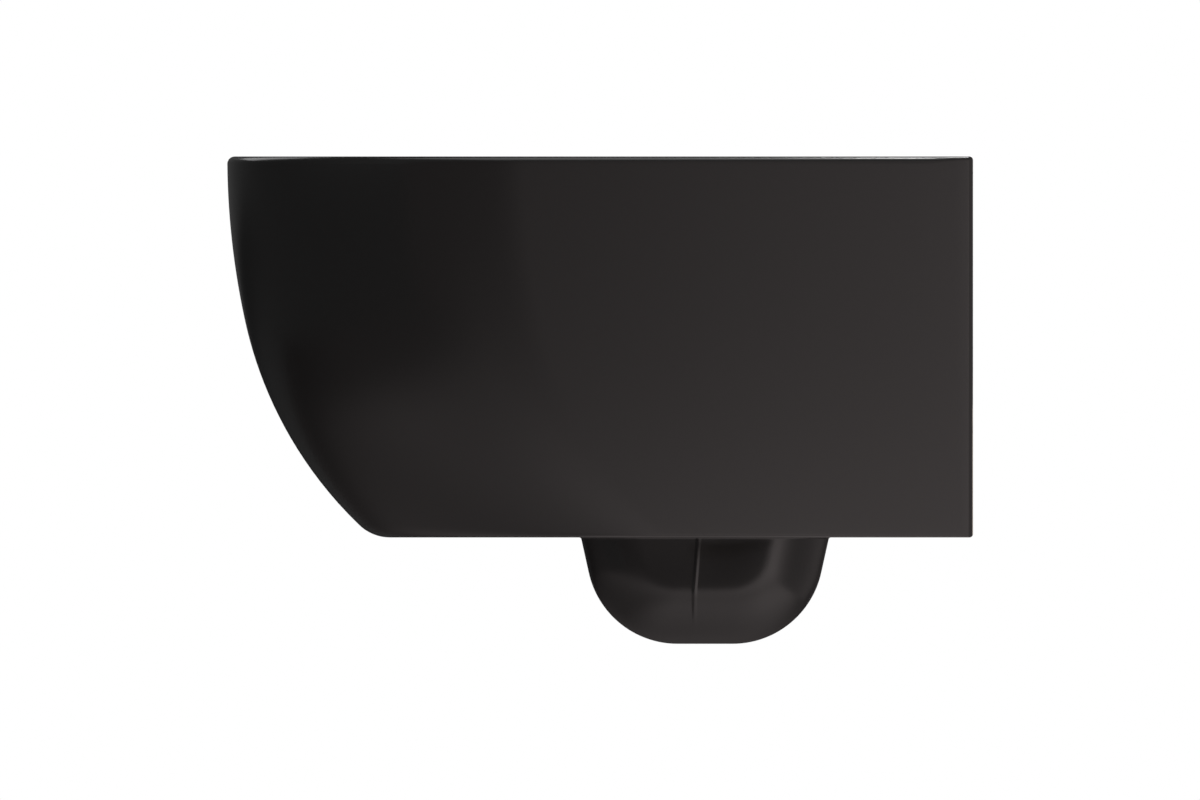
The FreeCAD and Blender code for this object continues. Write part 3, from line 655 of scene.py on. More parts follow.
@dataclass(frozen=True)
class BodyForm:
    """The outer body: flat back, straight sides, a round nose and a front line of two arcs."""

    length: float = 0.505
    width: float = 0.360
    depth: float = 0.258
    top: float = 0.080
    side_lean: float = 0.010
    nose: float = 0.200
    brow_radius: float = 0.520
    brow_depth: float = 0.112
    chin_radius: float = 0.272
    chin_round: float = 0.030
    edge_round: float = 0.0025
    back_round: float = 0.0035
    rim_round: float = 0.005

    def front_line(self, depth: Array) -> tuple[Array, Array]:
        """Return how far the front has drawn in, and the sine of its slope.

        Args:
            depth: Depths below the rim.

        Returns:
            The inset and the sine at each depth.
        """
        upper = np.minimum(depth, self.brow_depth) / self.brow_radius
        inset = self.brow_radius * (1.0 - np.sqrt(1.0 - upper**2))
        lower = upper + np.maximum(depth - self.brow_depth, 0.0) / self.chin_radius
        inset = inset + self.chin_radius * (np.sqrt(1.0 - upper**2) - np.sqrt(1.0 - lower**2))
        return inset, lower

    def plan(self, at: Stations, depth: Array, wall: float = 0.0, back_wall: float = 0.0) -> tuple[Array, Array]:
        """Return the plan outline at a depth.

        Args:
            at: The stations.
            depth: Depth below the rim at each station.
            wall: How far the sides and nose draw in.
            back_wall: How far the back draws in.

        Returns:
            Points and outward normals, one row each.
        """
        half = self.width / 2 - self.side_lean * depth / self.depth - wall
        inset, sine = self.front_line(depth)
        nose = self.nose - wall / np.sqrt(1.0 - sine**2)
        shoulder = self.nose - self.length + inset
        corner = self.back_round
        angle = at.share * math.pi / 2
        cosine, slope = np.cos(angle), np.sin(angle)
        zones = [at.stretch == kind.value for kind in (Stretch.BACK, Stretch.CORNER, Stretch.SIDE)]
        none, full = np.zeros_like(half), np.ones_like(half)
        start = -back_wall - corner
        x = np.select(zones, [at.share * (half - corner), half - corner + corner * cosine, half], half * cosine)
        side_y = start + at.share * (shoulder - start)
        y = np.select(zones, [none - back_wall, start + corner * slope, side_y], shoulder - nose * slope)
        reach = np.hypot(nose * cosine, half * slope)
        normal_x = np.select(zones, [none, cosine, full], nose * cosine / reach)
        normal_y = np.select(zones, [full, slope, none], -half * slope / reach)
        side_slope = -self.side_lean / self.depth
        front_slope = sine / np.sqrt(1.0 - sine**2)
        fall_x = np.select(zones, [none, full, full], cosine) * side_slope
        fall_y = np.where(at.stretch == Stretch.NOSE.value, front_slope, 0.0)
        normal = np.column_stack([at.side * normal_x, normal_y, normal_x * fall_x + normal_y * fall_y])
        normal /= np.linalg.norm(normal, axis=1)[:, None]
        return np.column_stack([at.side * x, y, self.top - depth]), normal

    def edge(
        self, at: Stations, radius: Array, upper: bool, steps: int = 8, rounds: int = 12
    ) -> tuple[Array, list[Array]]:
        """Roll a ball along the top or bottom edge.

        Args:
            at: The stations.
            radius: Radius of the ball at each station.
            upper: Whether this is the top edge.
            steps: Steps in the round.
            rounds: How often the depth is worked out again.

        Returns:
            The depth where the round meets the wall, and its loops from the wall to the flat.
        """
        depth = radius if upper else self.depth - radius
        for _ in range(rounds):
            points, normal = self.plan(at, depth)
            depth = radius * (1.0 - normal[:, 2]) if upper else self.depth - radius * (1.0 + normal[:, 2])
        points, normal = self.plan(at, depth)
        centre = points - radius[:, None] * normal
        flat = np.array([0.0, 0.0, 1.0 if upper else -1.0])
        whole = np.arccos(np.clip(normal @ flat, -1.0, 1.0))[:, None]
        loops = []
        for share in np.linspace(0.0, 1.0, steps + 1):
            direction = (np.sin((1.0 - share) * whole) * normal + np.sin(share * whole) * flat) / np.sin(whole)
            loops.append(centre + radius[:, None] * direction)
        return depth, loops


@dataclass(frozen=True)
class EggForm:
    """An egg-shaped plan outline of four quarter ellipses."""

    half_width: float
    front: float
    middle: float
    back: float

    def loop(self, count: int, height: float) -> Array:
        """Return the outline.

        Args:
            count: Number of points, from the middle of the back by the left side.
            height: Its height.

        Returns:
            The points, one row each.
        """
        turn = full_turn(count)
        across, along = -np.sin(turn), np.cos(turn)
        reach = np.where(along >= 0, self.middle - self.back, self.front - self.middle)
        return np.column_stack([self.half_width * across, -self.middle + reach * along, np.full(count, height)])

    def grown(self, by: float) -> "EggForm":
        """Return the egg with its outline moved outwards."""
        return EggForm(self.half_width + by, self.front + by, self.middle, self.back - by)


# ---- Pieces -------------------------------------------------------------------------------


def between(first: Array, last: Array, shares: Sequence[float]) -> list[Array]:
    """Return loops part way from one loop to another."""
    return [first + (last - first) * share for share in shares]


def ease_in(share: Array) -> Array:
    """Return a smooth step from 0 at 0 to 1 at 1."""
    held = np.clip(share, 0.0, 1.0)
    return held * held * (3.0 - 2.0 * held)


def settle(piece: bpy.types.Object, slot: Slot, *nodes: str) -> None:
    """Let a finished piece ride on the pan in the place of its solids.

    Args:
        piece: The piece.
        slot: Not used.
        nodes: Names of the solids that it stands for.
    """
    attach(piece, "root")
    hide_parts(*nodes)
    log.info("%s: %d faces, stands for %s", piece.name, len(piece.data.polygons), ", ".join(nodes))


@dataclass(frozen=True)
class Shell:
    """The glazed outer shell with its rim, rear deck and wall plate: one hollow casting."""

    form: BodyForm = BodyForm()
    mouth: EggForm = EggForm(0.135, 0.460, 0.280, 0.140)
    wall: float = 0.011
    deck: float = 0.014
    plate: float = 0.014
    mouth_join: float = 0.011
    trap_middle: float = 0.1815
    trap_hole: float = 0.020
    trap_hole_reach: float = 0.061
    stud_spacing: float = 0.180
    stud_hole: float = 0.0103
    rib_spacing: float = 0.132
    plate_foot: float = 0.032
    rib_round: float = 0.010
    floor_lip: float = 0.001
    inlet_height: float = 0.035
    inlet_hole: float = 0.0365
    inlet_depth: float = 0.048
    hinge_spacing: float = 0.155
    hinge_back: float = 0.078
    hinge_hole: float = 0.0075
    hand_inner: float = 0.062
    hand_outer: float = 0.148
    hand_front: float = 0.200
    hand_back: float = 0.028
    hand_round: float = 0.018
    rim_growth: float = 10.0
    deck_shares: tuple[float, ...] = (0.05, 0.5, 0.95)
    floor_shares: tuple[float, ...] = (0.04, 0.5, 1.0)
    outer_loops: int = 34
    inner_loops: int = 16
    hinge_sides: int = 48
    back_depth: float = 0.0005
    back_turn: float = 0.9

    def _edge_radii(self, at: Stations) -> tuple[Array, Array]:
        """Work out the radii of the edges. The rim's grows over the start of each side.

        Args:
            at: The stations.

        Returns:
            The top and bottom edge radii at each station.
        """
        form = self.form
        flank = at.stretch == Stretch.SIDE.value
        nose = at.stretch == Stretch.NOSE.value
        growth = np.where(nose, 1.0, np.where(flank, ease_in(at.share * self.rim_growth), 0.0))
        top = form.edge_round + (form.rim_round - form.edge_round) * growth
        turn = np.where(nose, np.sin(at.share * math.pi / 2) ** 2, 0.0)
        return top, form.edge_round + (form.chin_round - form.edge_round) * turn

    def _trap_loop(self, at: Stations, height: float) -> Array:
        """Draw the edge of the hole over which the trap stands.

        Args:
            at: The stations.
            height: Its height.

        Returns:
            The points, one row for each station.
        """
        count = len(at.share)
        turn = full_turn(count)
        reach = (self.trap_hole_reach - self.trap_hole * 0.5) * np.sign(np.round(np.cos(turn), 9))
        return np.column_stack([
            -self.trap_hole * np.sin(turn),
            -self.trap_middle + reach + self.trap_hole * np.cos(turn),
            np.full(count, height),
        ])

    def _skin(self) -> LoopSkin:
        """Draw the shell's skin, outside and inside.

        Returns:
            The closed skin.
        """
        form, at = self.form, Stations.spread()
        count = len(at.share)
        top_radius, bottom_radius = self._edge_radii(at)
        top_depth, top_loops = form.edge(at, top_radius, upper=True)
        bottom_depth, bottom_loops = form.edge(at, bottom_radius, upper=False)
        underside, floor = form.top - form.depth, form.top - form.depth + self.wall
        skin = LoopSkin(Ends.JOINED)
        rim = self.mouth.grown(self.mouth_join).loop(count, form.top)
        skin.add(rim)
        for loop in between(rim, top_loops[-1], self.deck_shares) + top_loops[::-1]:
            skin.add(loop)
        for share in np.linspace(0.0, 1.0, self.outer_loops)[1:-1]:
            skin.add(form.plan(at, top_depth + (bottom_depth - top_depth) * share)[0])
        hole = self._trap_loop(at, underside)
        for loop in bottom_loops + between(bottom_loops[-1], hole, self.floor_shares):
            skin.add(loop)
        inside = form.depth - self.wall
        corner = form.plan(at, np.full(count, inside), self.wall, self.plate)[0]
        skin.add(self._trap_loop(at, floor), 2)
        skin.add(corner, 2)
        for depth in np.linspace(inside, self.deck, self.inner_loops)[1:]:
            skin.add(form.plan(at, np.full(count, depth), self.wall, self.plate)[0], 2)
        skin.add(self.mouth.grown(self.mouth_join).loop(count, form.top - self.deck), 2)
        return skin

    def _openings(self) -> list[LoopSkin]:
        """Draw the holes through the bare parts of the shell.

        Returns:
            The solids to cut away.
        """
        form = self.form
        floor = form.top - form.depth + self.wall / 2
        rib, foot = self.rib_spacing / 2, form.top - form.depth + self.wall + self.floor_lip
        holes = [
            rounded_block((-rib, -self.plate * 2, foot), (rib, self.plate, -self.plate_foot), self.rib_round, "Y"),
            cylinder((0.0, 0.0, self.inlet_height), "Y", self.inlet_hole, self.inlet_depth * 2),
        ]
        for side in (-1, 1):
            holes.append(cylinder((side * self.stud_spacing / 2, 0.0, 0.0), "Y", self.stud_hole, self.plate * 3))
            across = sorted((side * self.hand_inner, side * self.hand_outer))
            low = (across[0], -self.hand_front, floor - self.wall)
            high = (across[1], -self.hand_back, floor + self.wall)
            holes.append(rounded_block(low, high, self.hand_round))
        return holes

    def _hinge_holes(self) -> list[LoopSkin]:
        """Draw the two seat hinge holes.

        Returns:
            The solids to cut away.
        """
        height = self.form.top - self.deck / 2
        places = [(side * self.hinge_spacing / 2, -self.hinge_back, height) for side in (-1, 1)]
        return [cylinder(place, "Z", self.hinge_hole, self.deck * 2, self.hinge_sides) for place in places]

    def build(self) -> bpy.types.Object:
        """Build and dress the shell.

        Returns:
            The shell.
        """
        piece = self._skin().build("glazed_shell")
        dress(piece, BlackGlaze(), WallFace(), RawCeramic())
        cut_away(piece, self._openings(), 2)
        cut_away(piece, self._hinge_holes(), 0)
        for face in piece.data.polygons:
            if face.center.y > -self.back_depth and face.normal.y > self.back_turn:
                face.material_index = 1
        smooth(piece)
        settle(piece, Slot.GLAZE, "outer_shell", "rim_deck", "wall_plate", "wall_rib_left", "wall_rib_right")
        return piece


@dataclass(frozen=True)
class Basin:
    """The bowl: a rolled mouth, an upright wall, a ledge that carries the flush, and the basin down to the throat."""

    mouth: EggForm = EggForm(0.135, 0.460, 0.280, 0.140)
    top: float = 0.080
    mouth_round: float = 0.008
    mouth_join: float = 0.011
    ledge: float = 0.040
    ledge_width: float = 0.008
    ledge_round: float = 0.004
    wall: float = 0.011
    foot: float = -0.160
    throat: float = 0.026
    throat_back: float = 0.2285
    slot_height: float = 0.053
    slot_half_width: float = 0.044
    slot_half_height: float = 0.009
    slot_round: float = 0.002
    side_curve: float = 1.5
    front_curve: float = 1.7
    back_curve: float = 0.9
    wall_shares: tuple[float, ...] = (0.3, 0.65)
    round_loops: int = 9
    inner_loops: int = 48
    outer_loops: int = 24

    def _section(self, share: float, wall: float = 0.0) -> tuple[EggForm, float]:
        """Return the basin's outline and height at a share of the way down.

        Args:
            share: From 0 at the ledge to 1 at the throat.
            wall: How far the outline is moved outwards.

        Returns:
            The outline and its height.
        """
        rim = self.mouth.grown(-self.ledge_width)
        throat_front = self.throat_back + self.throat
        egg = EggForm(
            rim.half_width - (rim.half_width - self.throat) * share**self.side_curve,
            rim.front - (rim.front - throat_front) * share**self.front_curve,
            rim.middle - (rim.middle - self.throat_back) * share,
            rim.back + (self.throat_back - self.throat - rim.back) * share**self.back_curve,
        )
        return egg.grown(wall), self.ledge - (self.ledge - self.foot) * share

    def _inner(self) -> list[tuple[EggForm, float]]:
        """Draw the glazed inside, from the rim to the throat.

        Returns:
            The outline and height of each loop.
        """
        turns = np.linspace(0.0, math.pi / 2, self.round_loops)
        roll, fillet = self.mouth_round, self.ledge_round
        path = [(self.mouth_join, self.top)]
        path += [(roll - roll * math.sin(turn), self.top - roll + roll * math.cos(turn)) for turn in turns]
        foot = self.ledge + fillet
        path += [(0.0, self.top - roll + (foot - self.top + roll) * share) for share in self.wall_shares]
        path += [(fillet * math.cos(turn) - fillet, foot - fillet * math.sin(turn)) for turn in turns]
        brink = self.ledge - fillet
        path += [(-fillet - fillet * math.sin(turn), brink + fillet * math.cos(turn)) for turn in turns[1:-1]]
        drawn = [(self.mouth.grown(grow), height) for grow, height in path]
        start = self.ledge_round / (self.ledge - self.foot)
        shares = start + (1.0 - start) * np.sin(np.linspace(0.0, 1.0, self.inner_loops) * math.pi / 2)
        return drawn + [self._section(share) for share in shares]

    def build(self) -> bpy.types.Object:
        """Build and dress the bowl.

        Returns:
            The bowl.
        """
        count = len(Stations.spread().share)
        skin = LoopSkin(Ends.JOINED)
        for egg, height in self._inner():
            skin.add(egg.loop(count, height))
        collar_foot = self.ledge - self.wall
        start = (self.ledge - collar_foot) / (self.ledge - self.foot)
        for share in np.linspace(1.0, start, self.outer_loops):
            egg, height = self._section(share, self.wall)
            skin.add(egg.loop(count, height), 1)
        skin.add(self.mouth.grown(self.mouth_join).loop(count, collar_foot), 1)
        piece = skin.build("basin")
        dress(piece, BlackGlaze(), RawCeramic())
        low = (-self.slot_half_width, -self.mouth.back - self.wall, self.slot_height - self.slot_half_height)
        high = (self.slot_half_width, -self.mouth.back + 2 * self.wall, self.slot_height + self.slot_half_height)
        cut_away(piece, [rounded_block(low, high, self.slot_round)], 0)
        smooth(piece)
        settle(piece, Slot.GLAZE, "bowl")
        return piece


@dataclass(frozen=True)
class Trap:
    """The trap under the body: rounded edges, flanks that draw in towards the front, a seam and the waterway."""

    middle: float = 0.1815
    length: float = 0.168
    top: float = -0.160
    underside: float = -0.178
    drop: float = 0.072
    corner: float = 0.0615
    taper: float = math.radians(12.5)
    half_width: float = 0.040
    crest: float = 0.046
    draw_in: float = 0.09
    draw_blend: float = 0.003
    lean_in: float = 0.05
    lean_blend: float = 0.012
    seam: float = 0.1886
    seam_lean: float = 0.0028
    seam_half_width: float = 0.0022
    seam_proud: float = 0.0005
    seam_rise: float = 2.0
    step: float = 0.0003
    lute: float = 0.0012
    bore: float = 0.026
    leg: float = 0.047
    bend: float = 0.030
    bend_height: float = -0.213
    lap: float = 0.001
    outer_loops: int = 44
    lute_loops: int = 7
    bend_loops: int = 10

    def _corner_centre(self) -> tuple[float, float]:
        """Find the centre of a corner of the side outline.

        Returns:
            Its distance from the trap's middle, and its height.
        """
        flank_drop = self.drop - self.corner + self.corner * math.sin(self.taper)
        reach = self.length / 2 - flank_drop * math.tan(self.taper) - self.corner * math.cos(self.taper)
        return reach, self.underside - self.drop + self.corner

    def _reach(self, height: float) -> float:
        """Return half the length of the side outline.

        Args:
            height: The height that it is wanted at.

        Returns:
            The distance from the trap's middle to either end.
        """
        centre, centre_height = self._corner_centre()
        fall = self.underside - height
        if fall <= 0.0:
            return self.length / 2
        if height > centre_height - self.corner * math.sin(self.taper):
            return self.length / 2 - fall * math.tan(self.taper)
        return centre + math.sqrt(max(self.corner**2 - (centre_height - height) ** 2, 0.0))

    def _inset(self, along: Array, height: float) -> Array:
        """Return how far points lie inside the side outline.

        Args:
            along: Distances from the trap's middle.
            height: Their height.

        Returns:
            The distance of each point to the outline.
        """
        centre, centre_height = self._corner_centre()
        away = np.abs(along)
        fall = self.underside - height
        if fall > 0.0:
            to_flank = (self.length / 2 - fall * math.tan(self.taper) - away) * math.cos(self.taper)
        else:
            to_flank = self.length / 2 - away
        inset = np.minimum(to_flank, height - self.underside + self.drop)
        rise = height - centre_height
        in_corner = (away > centre) & (rise < -(away - centre) * math.tan(self.taper))
        return np.where(in_corner, np.minimum(inset, self.corner - np.hypot(away - centre, rise)), inset)

    def _seam_place(self, height: float) -> float:
        """Return where the seam lies along the trap at a height, from the trap's middle."""
        climb = max(height - self.bend_height, 0.0) / (self.underside - self.bend_height)
        return self.middle - self.seam + self.seam_lean * min(climb, 1.0)

    def _places(self, height: float, ends: int = 72, seam: int = 17) -> Array:
        """Return places along the trap at a height, dense at both ends and over the seam.

        Args:
            height: The height.
            ends: Places on each side of the seam.
            seam: Places over the seam.

        Returns:
            Distances from the trap's middle, from the rear end to the front end.
        """
        reach, middle, half = self._reach(height), self._seam_place(height), self.seam_half_width
        ease = 1.0 - np.cos(np.linspace(0.0, 1.0, ends, endpoint=False) * math.pi / 2)
        rear = reach + (middle + half - reach) * ease
        front = -reach + (middle - half + reach) * ease
        return np.concatenate([rear, np.linspace(middle + half, middle - half, seam), front[::-1]])

    def _thickness(self, along: Array, height: float) -> Array:
        """Return half the trap's thickness at places along it.

        Args:
            along: Distances from the trap's middle.
            height: Their height.

        Returns:
            The half thickness at each place.
        """
        inset = np.clip(self._inset(along, height) / self.half_width, 0.0, 1.0)
        fall = max(self.underside - height, 0.0)
        ahead = self.crest - fall * math.tan(self.taper) - along
        drawn = self.draw_in * (np.hypot(ahead, self.draw_blend) + ahead) / 2
        above = height - self.bend_height
        drawn += self.lean_in * (math.hypot(above, self.lean_blend) + above) / 2 * ease_in(ahead / self.half_width)
        away = (along - self._seam_place(height)) / self.seam_half_width
        bead = self.seam_proud * (0.5 + 0.5 * np.cos(math.pi * np.clip(away, -1.0, 1.0)))
        front = self.step * (1.0 - ease_in(away + 1.0))
        flank = (self.half_width - drawn - front) * np.sqrt(1.0 - (1.0 - inset) ** 2)
        return flank + bead * ease_in(inset * self.seam_rise)

    def _loop(self, height: float) -> Array:
        """Draw the trap's plan outline.

        Args:
            height: Its height.

        Returns:
            The points, one row each.
        """
        along = self._places(height)
        thick = self._thickness(along, height)
        thick[0] = thick[-1] = 0.0
        right = np.column_stack([thick, along - self.middle, np.full(len(along), height)])
        left = right[1:-1][::-1] * np.array([-1.0, 1.0, 1.0])
        return np.concatenate([right, left])

    def _luted(self, loop: Array, swell: float) -> Array:
        """Swell a loop outwards in plan.

        Args:
            loop: Points of the loop, one row each.
            swell: How far its points move.

        Returns:
            The swollen loop.
        """
        tangent = np.roll(loop, -1, axis=0) - np.roll(loop, 1, axis=0)
        normal = np.column_stack([tangent[:, 1], -tangent[:, 0], np.zeros(len(loop))])
        normal /= np.maximum(np.linalg.norm(normal, axis=1), 1e-12)[:, None]
        outward = np.sign(np.sum(normal * (loop - loop.mean(axis=0)), axis=1).sum())
        return loop + outward * swell * normal

    def _skin(self) -> LoopSkin:
        """Draw the outside of the trap.

        Returns:
            The closed skin.
        """
        skin = LoopSkin()
        bottom = self.underside - self.drop
        seat = self.underside - self.lute
        for share in np.linspace(0.0, 1.0, self.outer_loops):
            skin.add(self._loop(bottom + (seat - bottom) * (1.0 - math.cos(share * math.pi / 2))))
        for turn in np.linspace(0.0, math.pi / 2, self.lute_loops)[1:]:
            height = seat + self.lute * math.sin(turn)
            skin.add(self._luted(self._loop(height), self.lute * (1.0 - math.cos(turn))))
        skin.add(self._luted(self._loop(self.underside + self.lap), self.lute))
        skin.add(self._loop(self.top), 1)
        return skin

    def _waterway(self, sides: int = 48) -> LoopSkin:
        """Draw the bore: down one leg, round the bend and up the other.

        Args:
            sides: Points round the bore.

        Returns:
            The closed solid of the bore.
        """
        corner = self.bend_height + self.bend
        above = self.top + self.bore
        path = [(-self.leg, above, 0.0), (-self.leg, corner, 0.0)]
        for turn in np.linspace(0.0, math.pi / 2, self.bend_loops)[1:]:
            path.append((-self.leg + self.bend * (1 - math.cos(turn)), corner - self.bend * math.sin(turn), turn))
        for turn in np.linspace(math.pi / 2, math.pi, self.bend_loops)[:-1]:
            path.append((self.leg - self.bend * (1 + math.cos(turn)), corner - self.bend * math.sin(turn), turn))
        path += [(self.leg, corner, math.pi), (self.leg, above, math.pi)]
        round_turn = full_turn(sides)
        skin = LoopSkin()
        for along, height, turn in path:
            reach = self.bore * np.cos(round_turn)
            skin.add(np.column_stack([
                self.bore * np.sin(round_turn),
                -self.middle + along + reach * math.cos(turn),
                height + reach * math.sin(turn),
            ]))
        return skin

    def build(self) -> bpy.types.Object:
        """Build and dress the trap.

        Returns:
            The trap.
        """
        piece = self._skin().build("trap")
        dress(piece, BlackGlaze(), RawCeramic())
        cut_away(piece, [self._waterway()], 0)
        smooth(piece)
        settle(piece, Slot.GLAZE, "trap_front_half", "trap_rear_half")
        return piece


@dataclass(frozen=True)
class FittedParts:
    """The solids that stay as they are and get a finish: waterways inside the body, and the wall fixings."""

    finishes: dict[str, Finish] = field(default_factory=lambda: {
        "waste_elbow": BlackGlaze(),
        "waste_spigot": BlackGlaze(),
        "flush_inlet_socket": RawCeramic(),
        "flush_channel": RawCeramic(),
        "fixing_boss": RawCeramic(),
        "flush_insert": FINISHES[Slot.PLASTIC],
        "insert_gasket": FINISHES[Slot.RUBBER],
        "fixing_sleeve": FINISHES[Slot.NYLON],
        "fixing_washer": FINISHES[Slot.STEEL],
        "fixing_nut": FINISHES[Slot.STEEL],
    })

    def dress(self) -> None:
        """Give each solid that stays its finish."""
        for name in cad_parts:
            finish = next((made for start, made in self.finishes.items() if name.startswith(start)), None)
            piece = bpy.data.objects.get(name)
            if finish is None or piece is None:
                continue
            for slot in piece.material_slots:
                slot.material = finish.material()
            log.info("%s: dressed in %s", name, finish.name)


# ---- Studio -------------------------------------------------------------------------------


@dataclass(frozen=True)
class FloorPaint(Finish):
    """Pale studio floor. Glossy surfaces mirror it with painted shade: darker, most of all behind the pan."""

    name: str = "floor_paint"
    pale: tuple[float, ...] = rgb(0.80, 0.80, 0.80)
    clean: tuple[float, ...] = rgb(0.84, 0.84, 0.84)
    # Painted shade: the floor's tones as glossy surfaces mirror it, the lighter one and the deepest one.
    mirrored_painted_shade: tuple[float, ...] = rgb(0.48, 0.48, 0.48)
    mirrored_painted_deep_shade: tuple[float, ...] = rgb(0.05, 0.05, 0.05)
    cloud_scale: float = 3.0
    painted_shade_span: Span = (-1.0, 3.8)
    rough: float = 0.9

    def build(self, graph: Graph) -> None:
        """Fill the graph of the floor.

        Args:
            graph: The empty graph.
        """
        tone = graph.mix(graph.noise(self.cloud_scale), self.pale, self.clean)
        across, along = graph.along("X"), graph.along("Y")
        # Painted shade: the mirrored floor goes from the lighter tone on the camera's side and front to the deepest
        # behind the pan.
        painted_shade_tone = graph.mix(graph.step(across - along, *self.painted_shade_span), self.mirrored_painted_deep_shade, self.mirrored_painted_shade)
        mirrored = graph.add("ShaderNodeLightPath", {}, {}, "Is Glossy Ray")
        graph.finish_surface({"Base Color": graph.mix(mirrored, tone, painted_shade_tone), "Roughness": self.rough})


@dataclass(frozen=True)
class Patch:
    """A patch of light on a card. Over each of its spans it grows from nothing to its full glow."""

    glow: float
    across: Span | None = None
    along: Span | None = None
    down: Span | None = None
    fade: float = 0.0
    fade_across: Span | None = None

    def shine(self, graph: Graph) -> Any:
        """Draw the patch.

        Args:
            graph: The graph of the card.

        Returns:
            How brightly the patch glows, as a number or a signal.
        """
        light: Any = self.glow
        for span, sign, axis in ((self.across, 1.0, "X"), (self.along, 1.0, "Y"), (self.down, -1.0, "Z")):
            if span:
                light = light * graph.step(sign * graph.along(axis), *span)
        if self.fade_across:
            light = light * (1.0 - self.fade * graph.step(graph.along("X"), *self.fade_across))
        return light


@dataclass(frozen=True)
class CardGlow(Finish):
    """Uneven glow of a card: dim all over, with patches of light."""

    dim: float = 0.0
    patches: tuple[Patch, ...] = ()

    def build(self, graph: Graph) -> None:
        """Fill the graph of the card."""
        graph.finish_glow(sum((patch.shine(graph) for patch in self.patches), self.dim))


WALL_END = (Patch(0.20, along=(-0.26, -0.04)), Patch(-0.22, along=(-0.05, 0.03)))
RIGHT_GLOW = CardGlow("side_card", 0.16, (
    Patch(0.24, along=(-0.56, -0.08)),
    *WALL_END,
    Patch(0.30, along=(-1.1, -0.2), down=(0.16, 0.26)),
))
LEFT_GLOW = CardGlow("left_glow", 0.08, (Patch(0.24, along=(-0.30, -0.08)), *WALL_END))
FLOOR_GLOW = CardGlow("floor_card", 0.045, (
    Patch(0.09, across=(-0.32, 0.38)),
    Patch(0.28, across=(-0.32, 0.38), along=(-1.05, -0.75)),
    Patch(0.30, across=(0.15, 0.75), along=(-0.70, -0.30)),
    Patch(0.42, across=(-0.10, 0.12), along=(-0.33, -0.23), fade=0.35, fade_across=(0.14, 0.30)),
    Patch(0.26, across=(-0.05, 0.10), along=(-0.20, -0.06), fade=0.35, fade_across=(0.14, 0.30)),
))
WALL_GLOW = CardGlow("wall_card", 0.06, (
    Patch(0.30, across=(-0.20, 0.0)),
    Patch(0.88, across=(0.10, 0.45), fade=0.6, fade_across=(0.9, 1.4)),
))


class Aim(Enum):
    """Where a lamp points."""

    PAN = "pan"
    DOWN = "down"


@dataclass(frozen=True)
class SoftBox:
    """A lamp with a rectangular face, in watts for each square metre. One that points down is only mirrored."""

    name: str
    place: tuple[float, float, float]
    size: tuple[float, float]
    glow: float
    aim: Aim = Aim.PAN

    def hang(self, target: Vector) -> None:
        """Hang the lamp.

        Args:
            target: The place on the pan that it may point at.
        """
        light = bpy.data.lights.new(self.name, "AREA")
        light.shape = "RECTANGLE"
        light.size, light.size_y = self.size
        light.energy = self.glow * self.size[0] * self.size[1]
        lamp = put_in_scene(self.name, light)
        lamp.location = self.place
        lamp.visible_camera = False
        if self.aim is Aim.PAN:
            lamp.rotation_euler = (target - Vector(self.place)).to_track_quat("-Z", "Y").to_euler()
        else:
            lamp.visible_diffuse = False


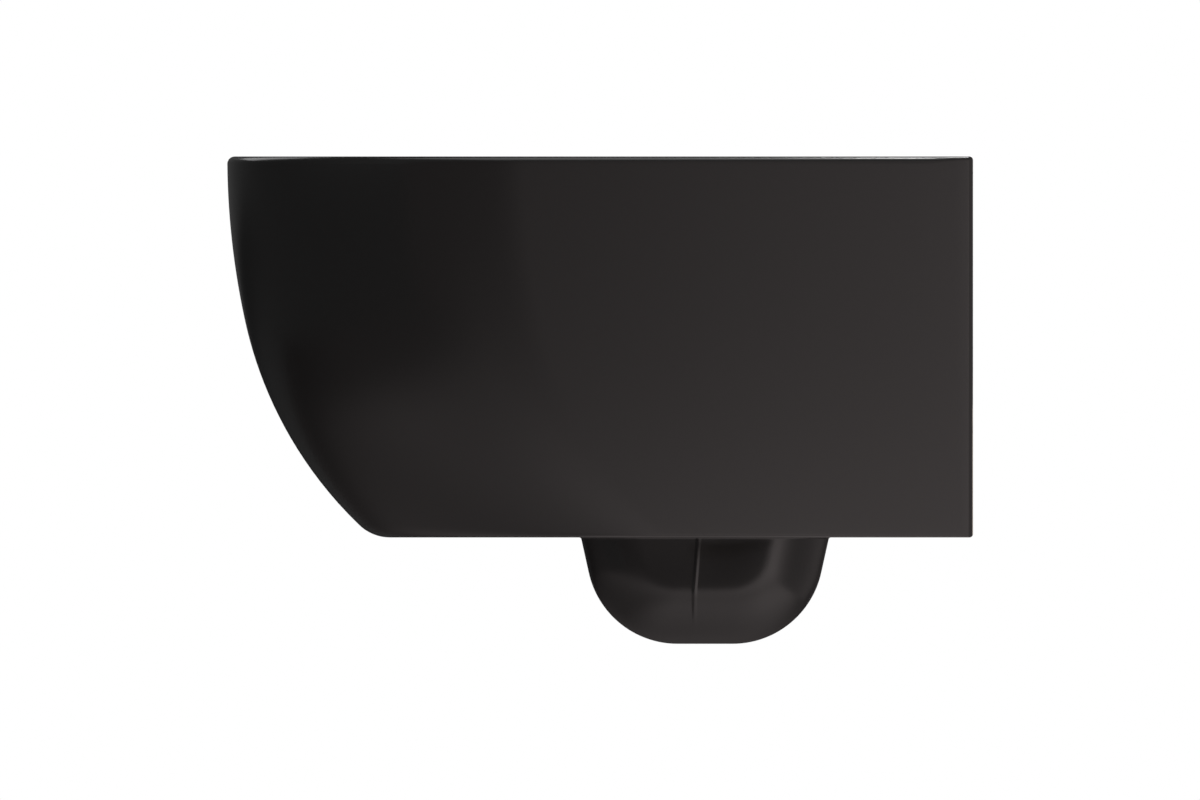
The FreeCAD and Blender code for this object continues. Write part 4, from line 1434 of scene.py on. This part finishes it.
@dataclass(frozen=True)
class Studio:
    """A pale floor, soft light and the camera."""

    image_width: int = 1200
    metres_per_pixel: float = 0.0006771
    view_middle: tuple[float, float] = (-0.2526, -0.0849)
    view_distance: float = 3.0
    floor_height: float = -0.320
    floor_reach: float = 6.0
    card_distance: float = 1.5
    card_top: float = 1.4
    card_ends: Span = (-1.6, 1.8)
    left_card_front: float = -0.3
    floor_card_side: float = -0.5
    floor_card_ends: Span = (-1.4, 1.0)
    floor_card_lift: float = 0.002
    wall_card_back: float = 0.03
    wall_card_top: float = 0.10
    room_span: Span = (-1.0, 0.3)
    room_tone: tuple[float, ...] = rgb(0.22, 0.22, 0.22)
    dark_tone: tuple[float, ...] = rgb(0.08, 0.08, 0.08)
    backdrop_tone: tuple[float, ...] = rgb(1.0, 1.0, 1.0)
    lamps: tuple[SoftBox, ...] = (
        SoftBox("top_box", (0.1, -0.2, 2.2), (1.8, 1.8), 3.6),
        SoftBox("left_box", (-1.6, -1.5, 1.3), (1.0, 1.0), 4.0),
        SoftBox("wall_strip", (-0.1, -0.02, 1.3), (0.30, 0.10), 120.0, Aim.DOWN),
    )

    @staticmethod
    def _sheet(name: str, corners: Sequence[tuple[float, float, float]], finish: Finish) -> bpy.types.Object:
        """Put up a flat sheet that belongs to the studio.

        Args:
            name: Name of the sheet.
            corners: Its four corners.
            finish: Its finish.

        Returns:
            The sheet.
        """
        mesh = bpy.data.meshes.new(name)
        mesh.from_pydata(list(corners), [], [(0, 1, 2, 3)])
        mesh.materials.append(finish.material())
        sheet = put_in_scene(name, mesh)
        return sheet

    def _lay(self, name: str, across: Span, along: Span, height: float, finish: Finish) -> bpy.types.Object:
        """Lay a level sheet.

        Args:
            name: Name of the sheet.
            across: Its ends along X.
            along: Its ends along Y.
            height: Its height.
            finish: Its finish.

        Returns:
            The sheet.
        """
        (left, right), (front, back) = across, along
        corners = [(left, front, height), (right, front, height), (right, back, height), (left, back, height)]
        return self._sheet(name, corners, finish)

    def _stand(self, name: str, start: Span, end: Span, top: float, finish: Finish) -> bpy.types.Object:
        """Stand a card on the floor, between two places and up to a height, and return it."""
        low = self.floor_height
        return self._sheet(name, [(*start, low), (*end, low), (*end, top), (*start, top)], finish)

    def _floor(self) -> None:
        """Lay the floor."""
        reach = (-self.floor_reach, self.floor_reach)
        self._lay("floor", reach, reach, self.floor_height, FloorPaint())

    def _cards(self) -> None:
        """Put up cards beside the pan and behind it, and lay one on the floor. The camera sees through them."""
        x, y, (front, back) = self.card_distance, self.wall_card_back, self.card_ends
        level = self.floor_height + self.floor_card_lift
        cards = [
            self._stand("right_card", (x, back), (x, front), self.card_top, RIGHT_GLOW),
            self._stand("left_card", (-x, self.left_card_front), (-x, back), self.card_top, LEFT_GLOW),
            self._lay("floor_card", (self.floor_card_side, x), self.floor_card_ends, level, FLOOR_GLOW),
            self._stand("wall_card", (-x, y), (x, y), self.wall_card_top, WALL_GLOW),
        ]
        cards[-1].visible_diffuse = False
        for card in cards:
            card.visible_camera = False
            card.visible_shadow = False

    def _world(self) -> None:
        """Make the room: dim round the pan, darkest at its far side, and white where the camera looks past it."""
        world = bpy.data.worlds.new("room")
        world.use_nodes = True
        bpy.context.scene.world = world
        graph = Graph(world.node_tree)
        seen = graph.add("ShaderNodeLightPath", {}, {}, "Is Camera Ray")
        heading = graph.add("ShaderNodeTexCoord", {}, {}, "Generated")
        across = graph.add("ShaderNodeSeparateXYZ", {}, {"Vector": heading}, "X")
        along = graph.add("ShaderNodeSeparateXYZ", {}, {"Vector": heading}, "Y")
        room = graph.mix(graph.step(across + 0.5 * along, *self.room_span), self.dark_tone, self.room_tone)
        tone = graph.mix(seen, room, self.backdrop_tone)
        sky = graph.add("ShaderNodeBackground", {}, {"Color": tone, "Strength": 1.0})
        graph.add("ShaderNodeOutputWorld", {}, {"Surface": sky})

    def _camera(self) -> None:
        """Set up the camera, level and square to the right side of the pan."""
        data = bpy.data.cameras.new("camera")
        data.type = "ORTHO"
        data.ortho_scale = self.image_width * self.metres_per_pixel
        camera = put_in_scene("camera", data)
        camera.location = (self.view_distance, *self.view_middle)
        camera.rotation_euler = (math.pi / 2, 0.0, math.pi / 2)
        bpy.context.scene.camera = camera

    def build(self) -> None:
        """Set up the studio."""
        bpy.context.scene.view_settings.view_transform = "Standard"
        self._floor()
        self._cards()
        self._world()
        self._camera()
        target = Vector((0.0, self.view_middle[0], 0.0))
        for lamp in self.lamps:
            lamp.hang(target)
        log.info("studio is set")


def main() -> None:
    """Build the pan and its studio."""
    logging.basicConfig(level=logging.INFO, format="%(name)s: %(message)s")
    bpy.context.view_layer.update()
    Shell().build()
    Basin().build()
    Trap().build()
    FittedParts().dress()
    Studio().build()


if __name__ == "__main__":
    main()
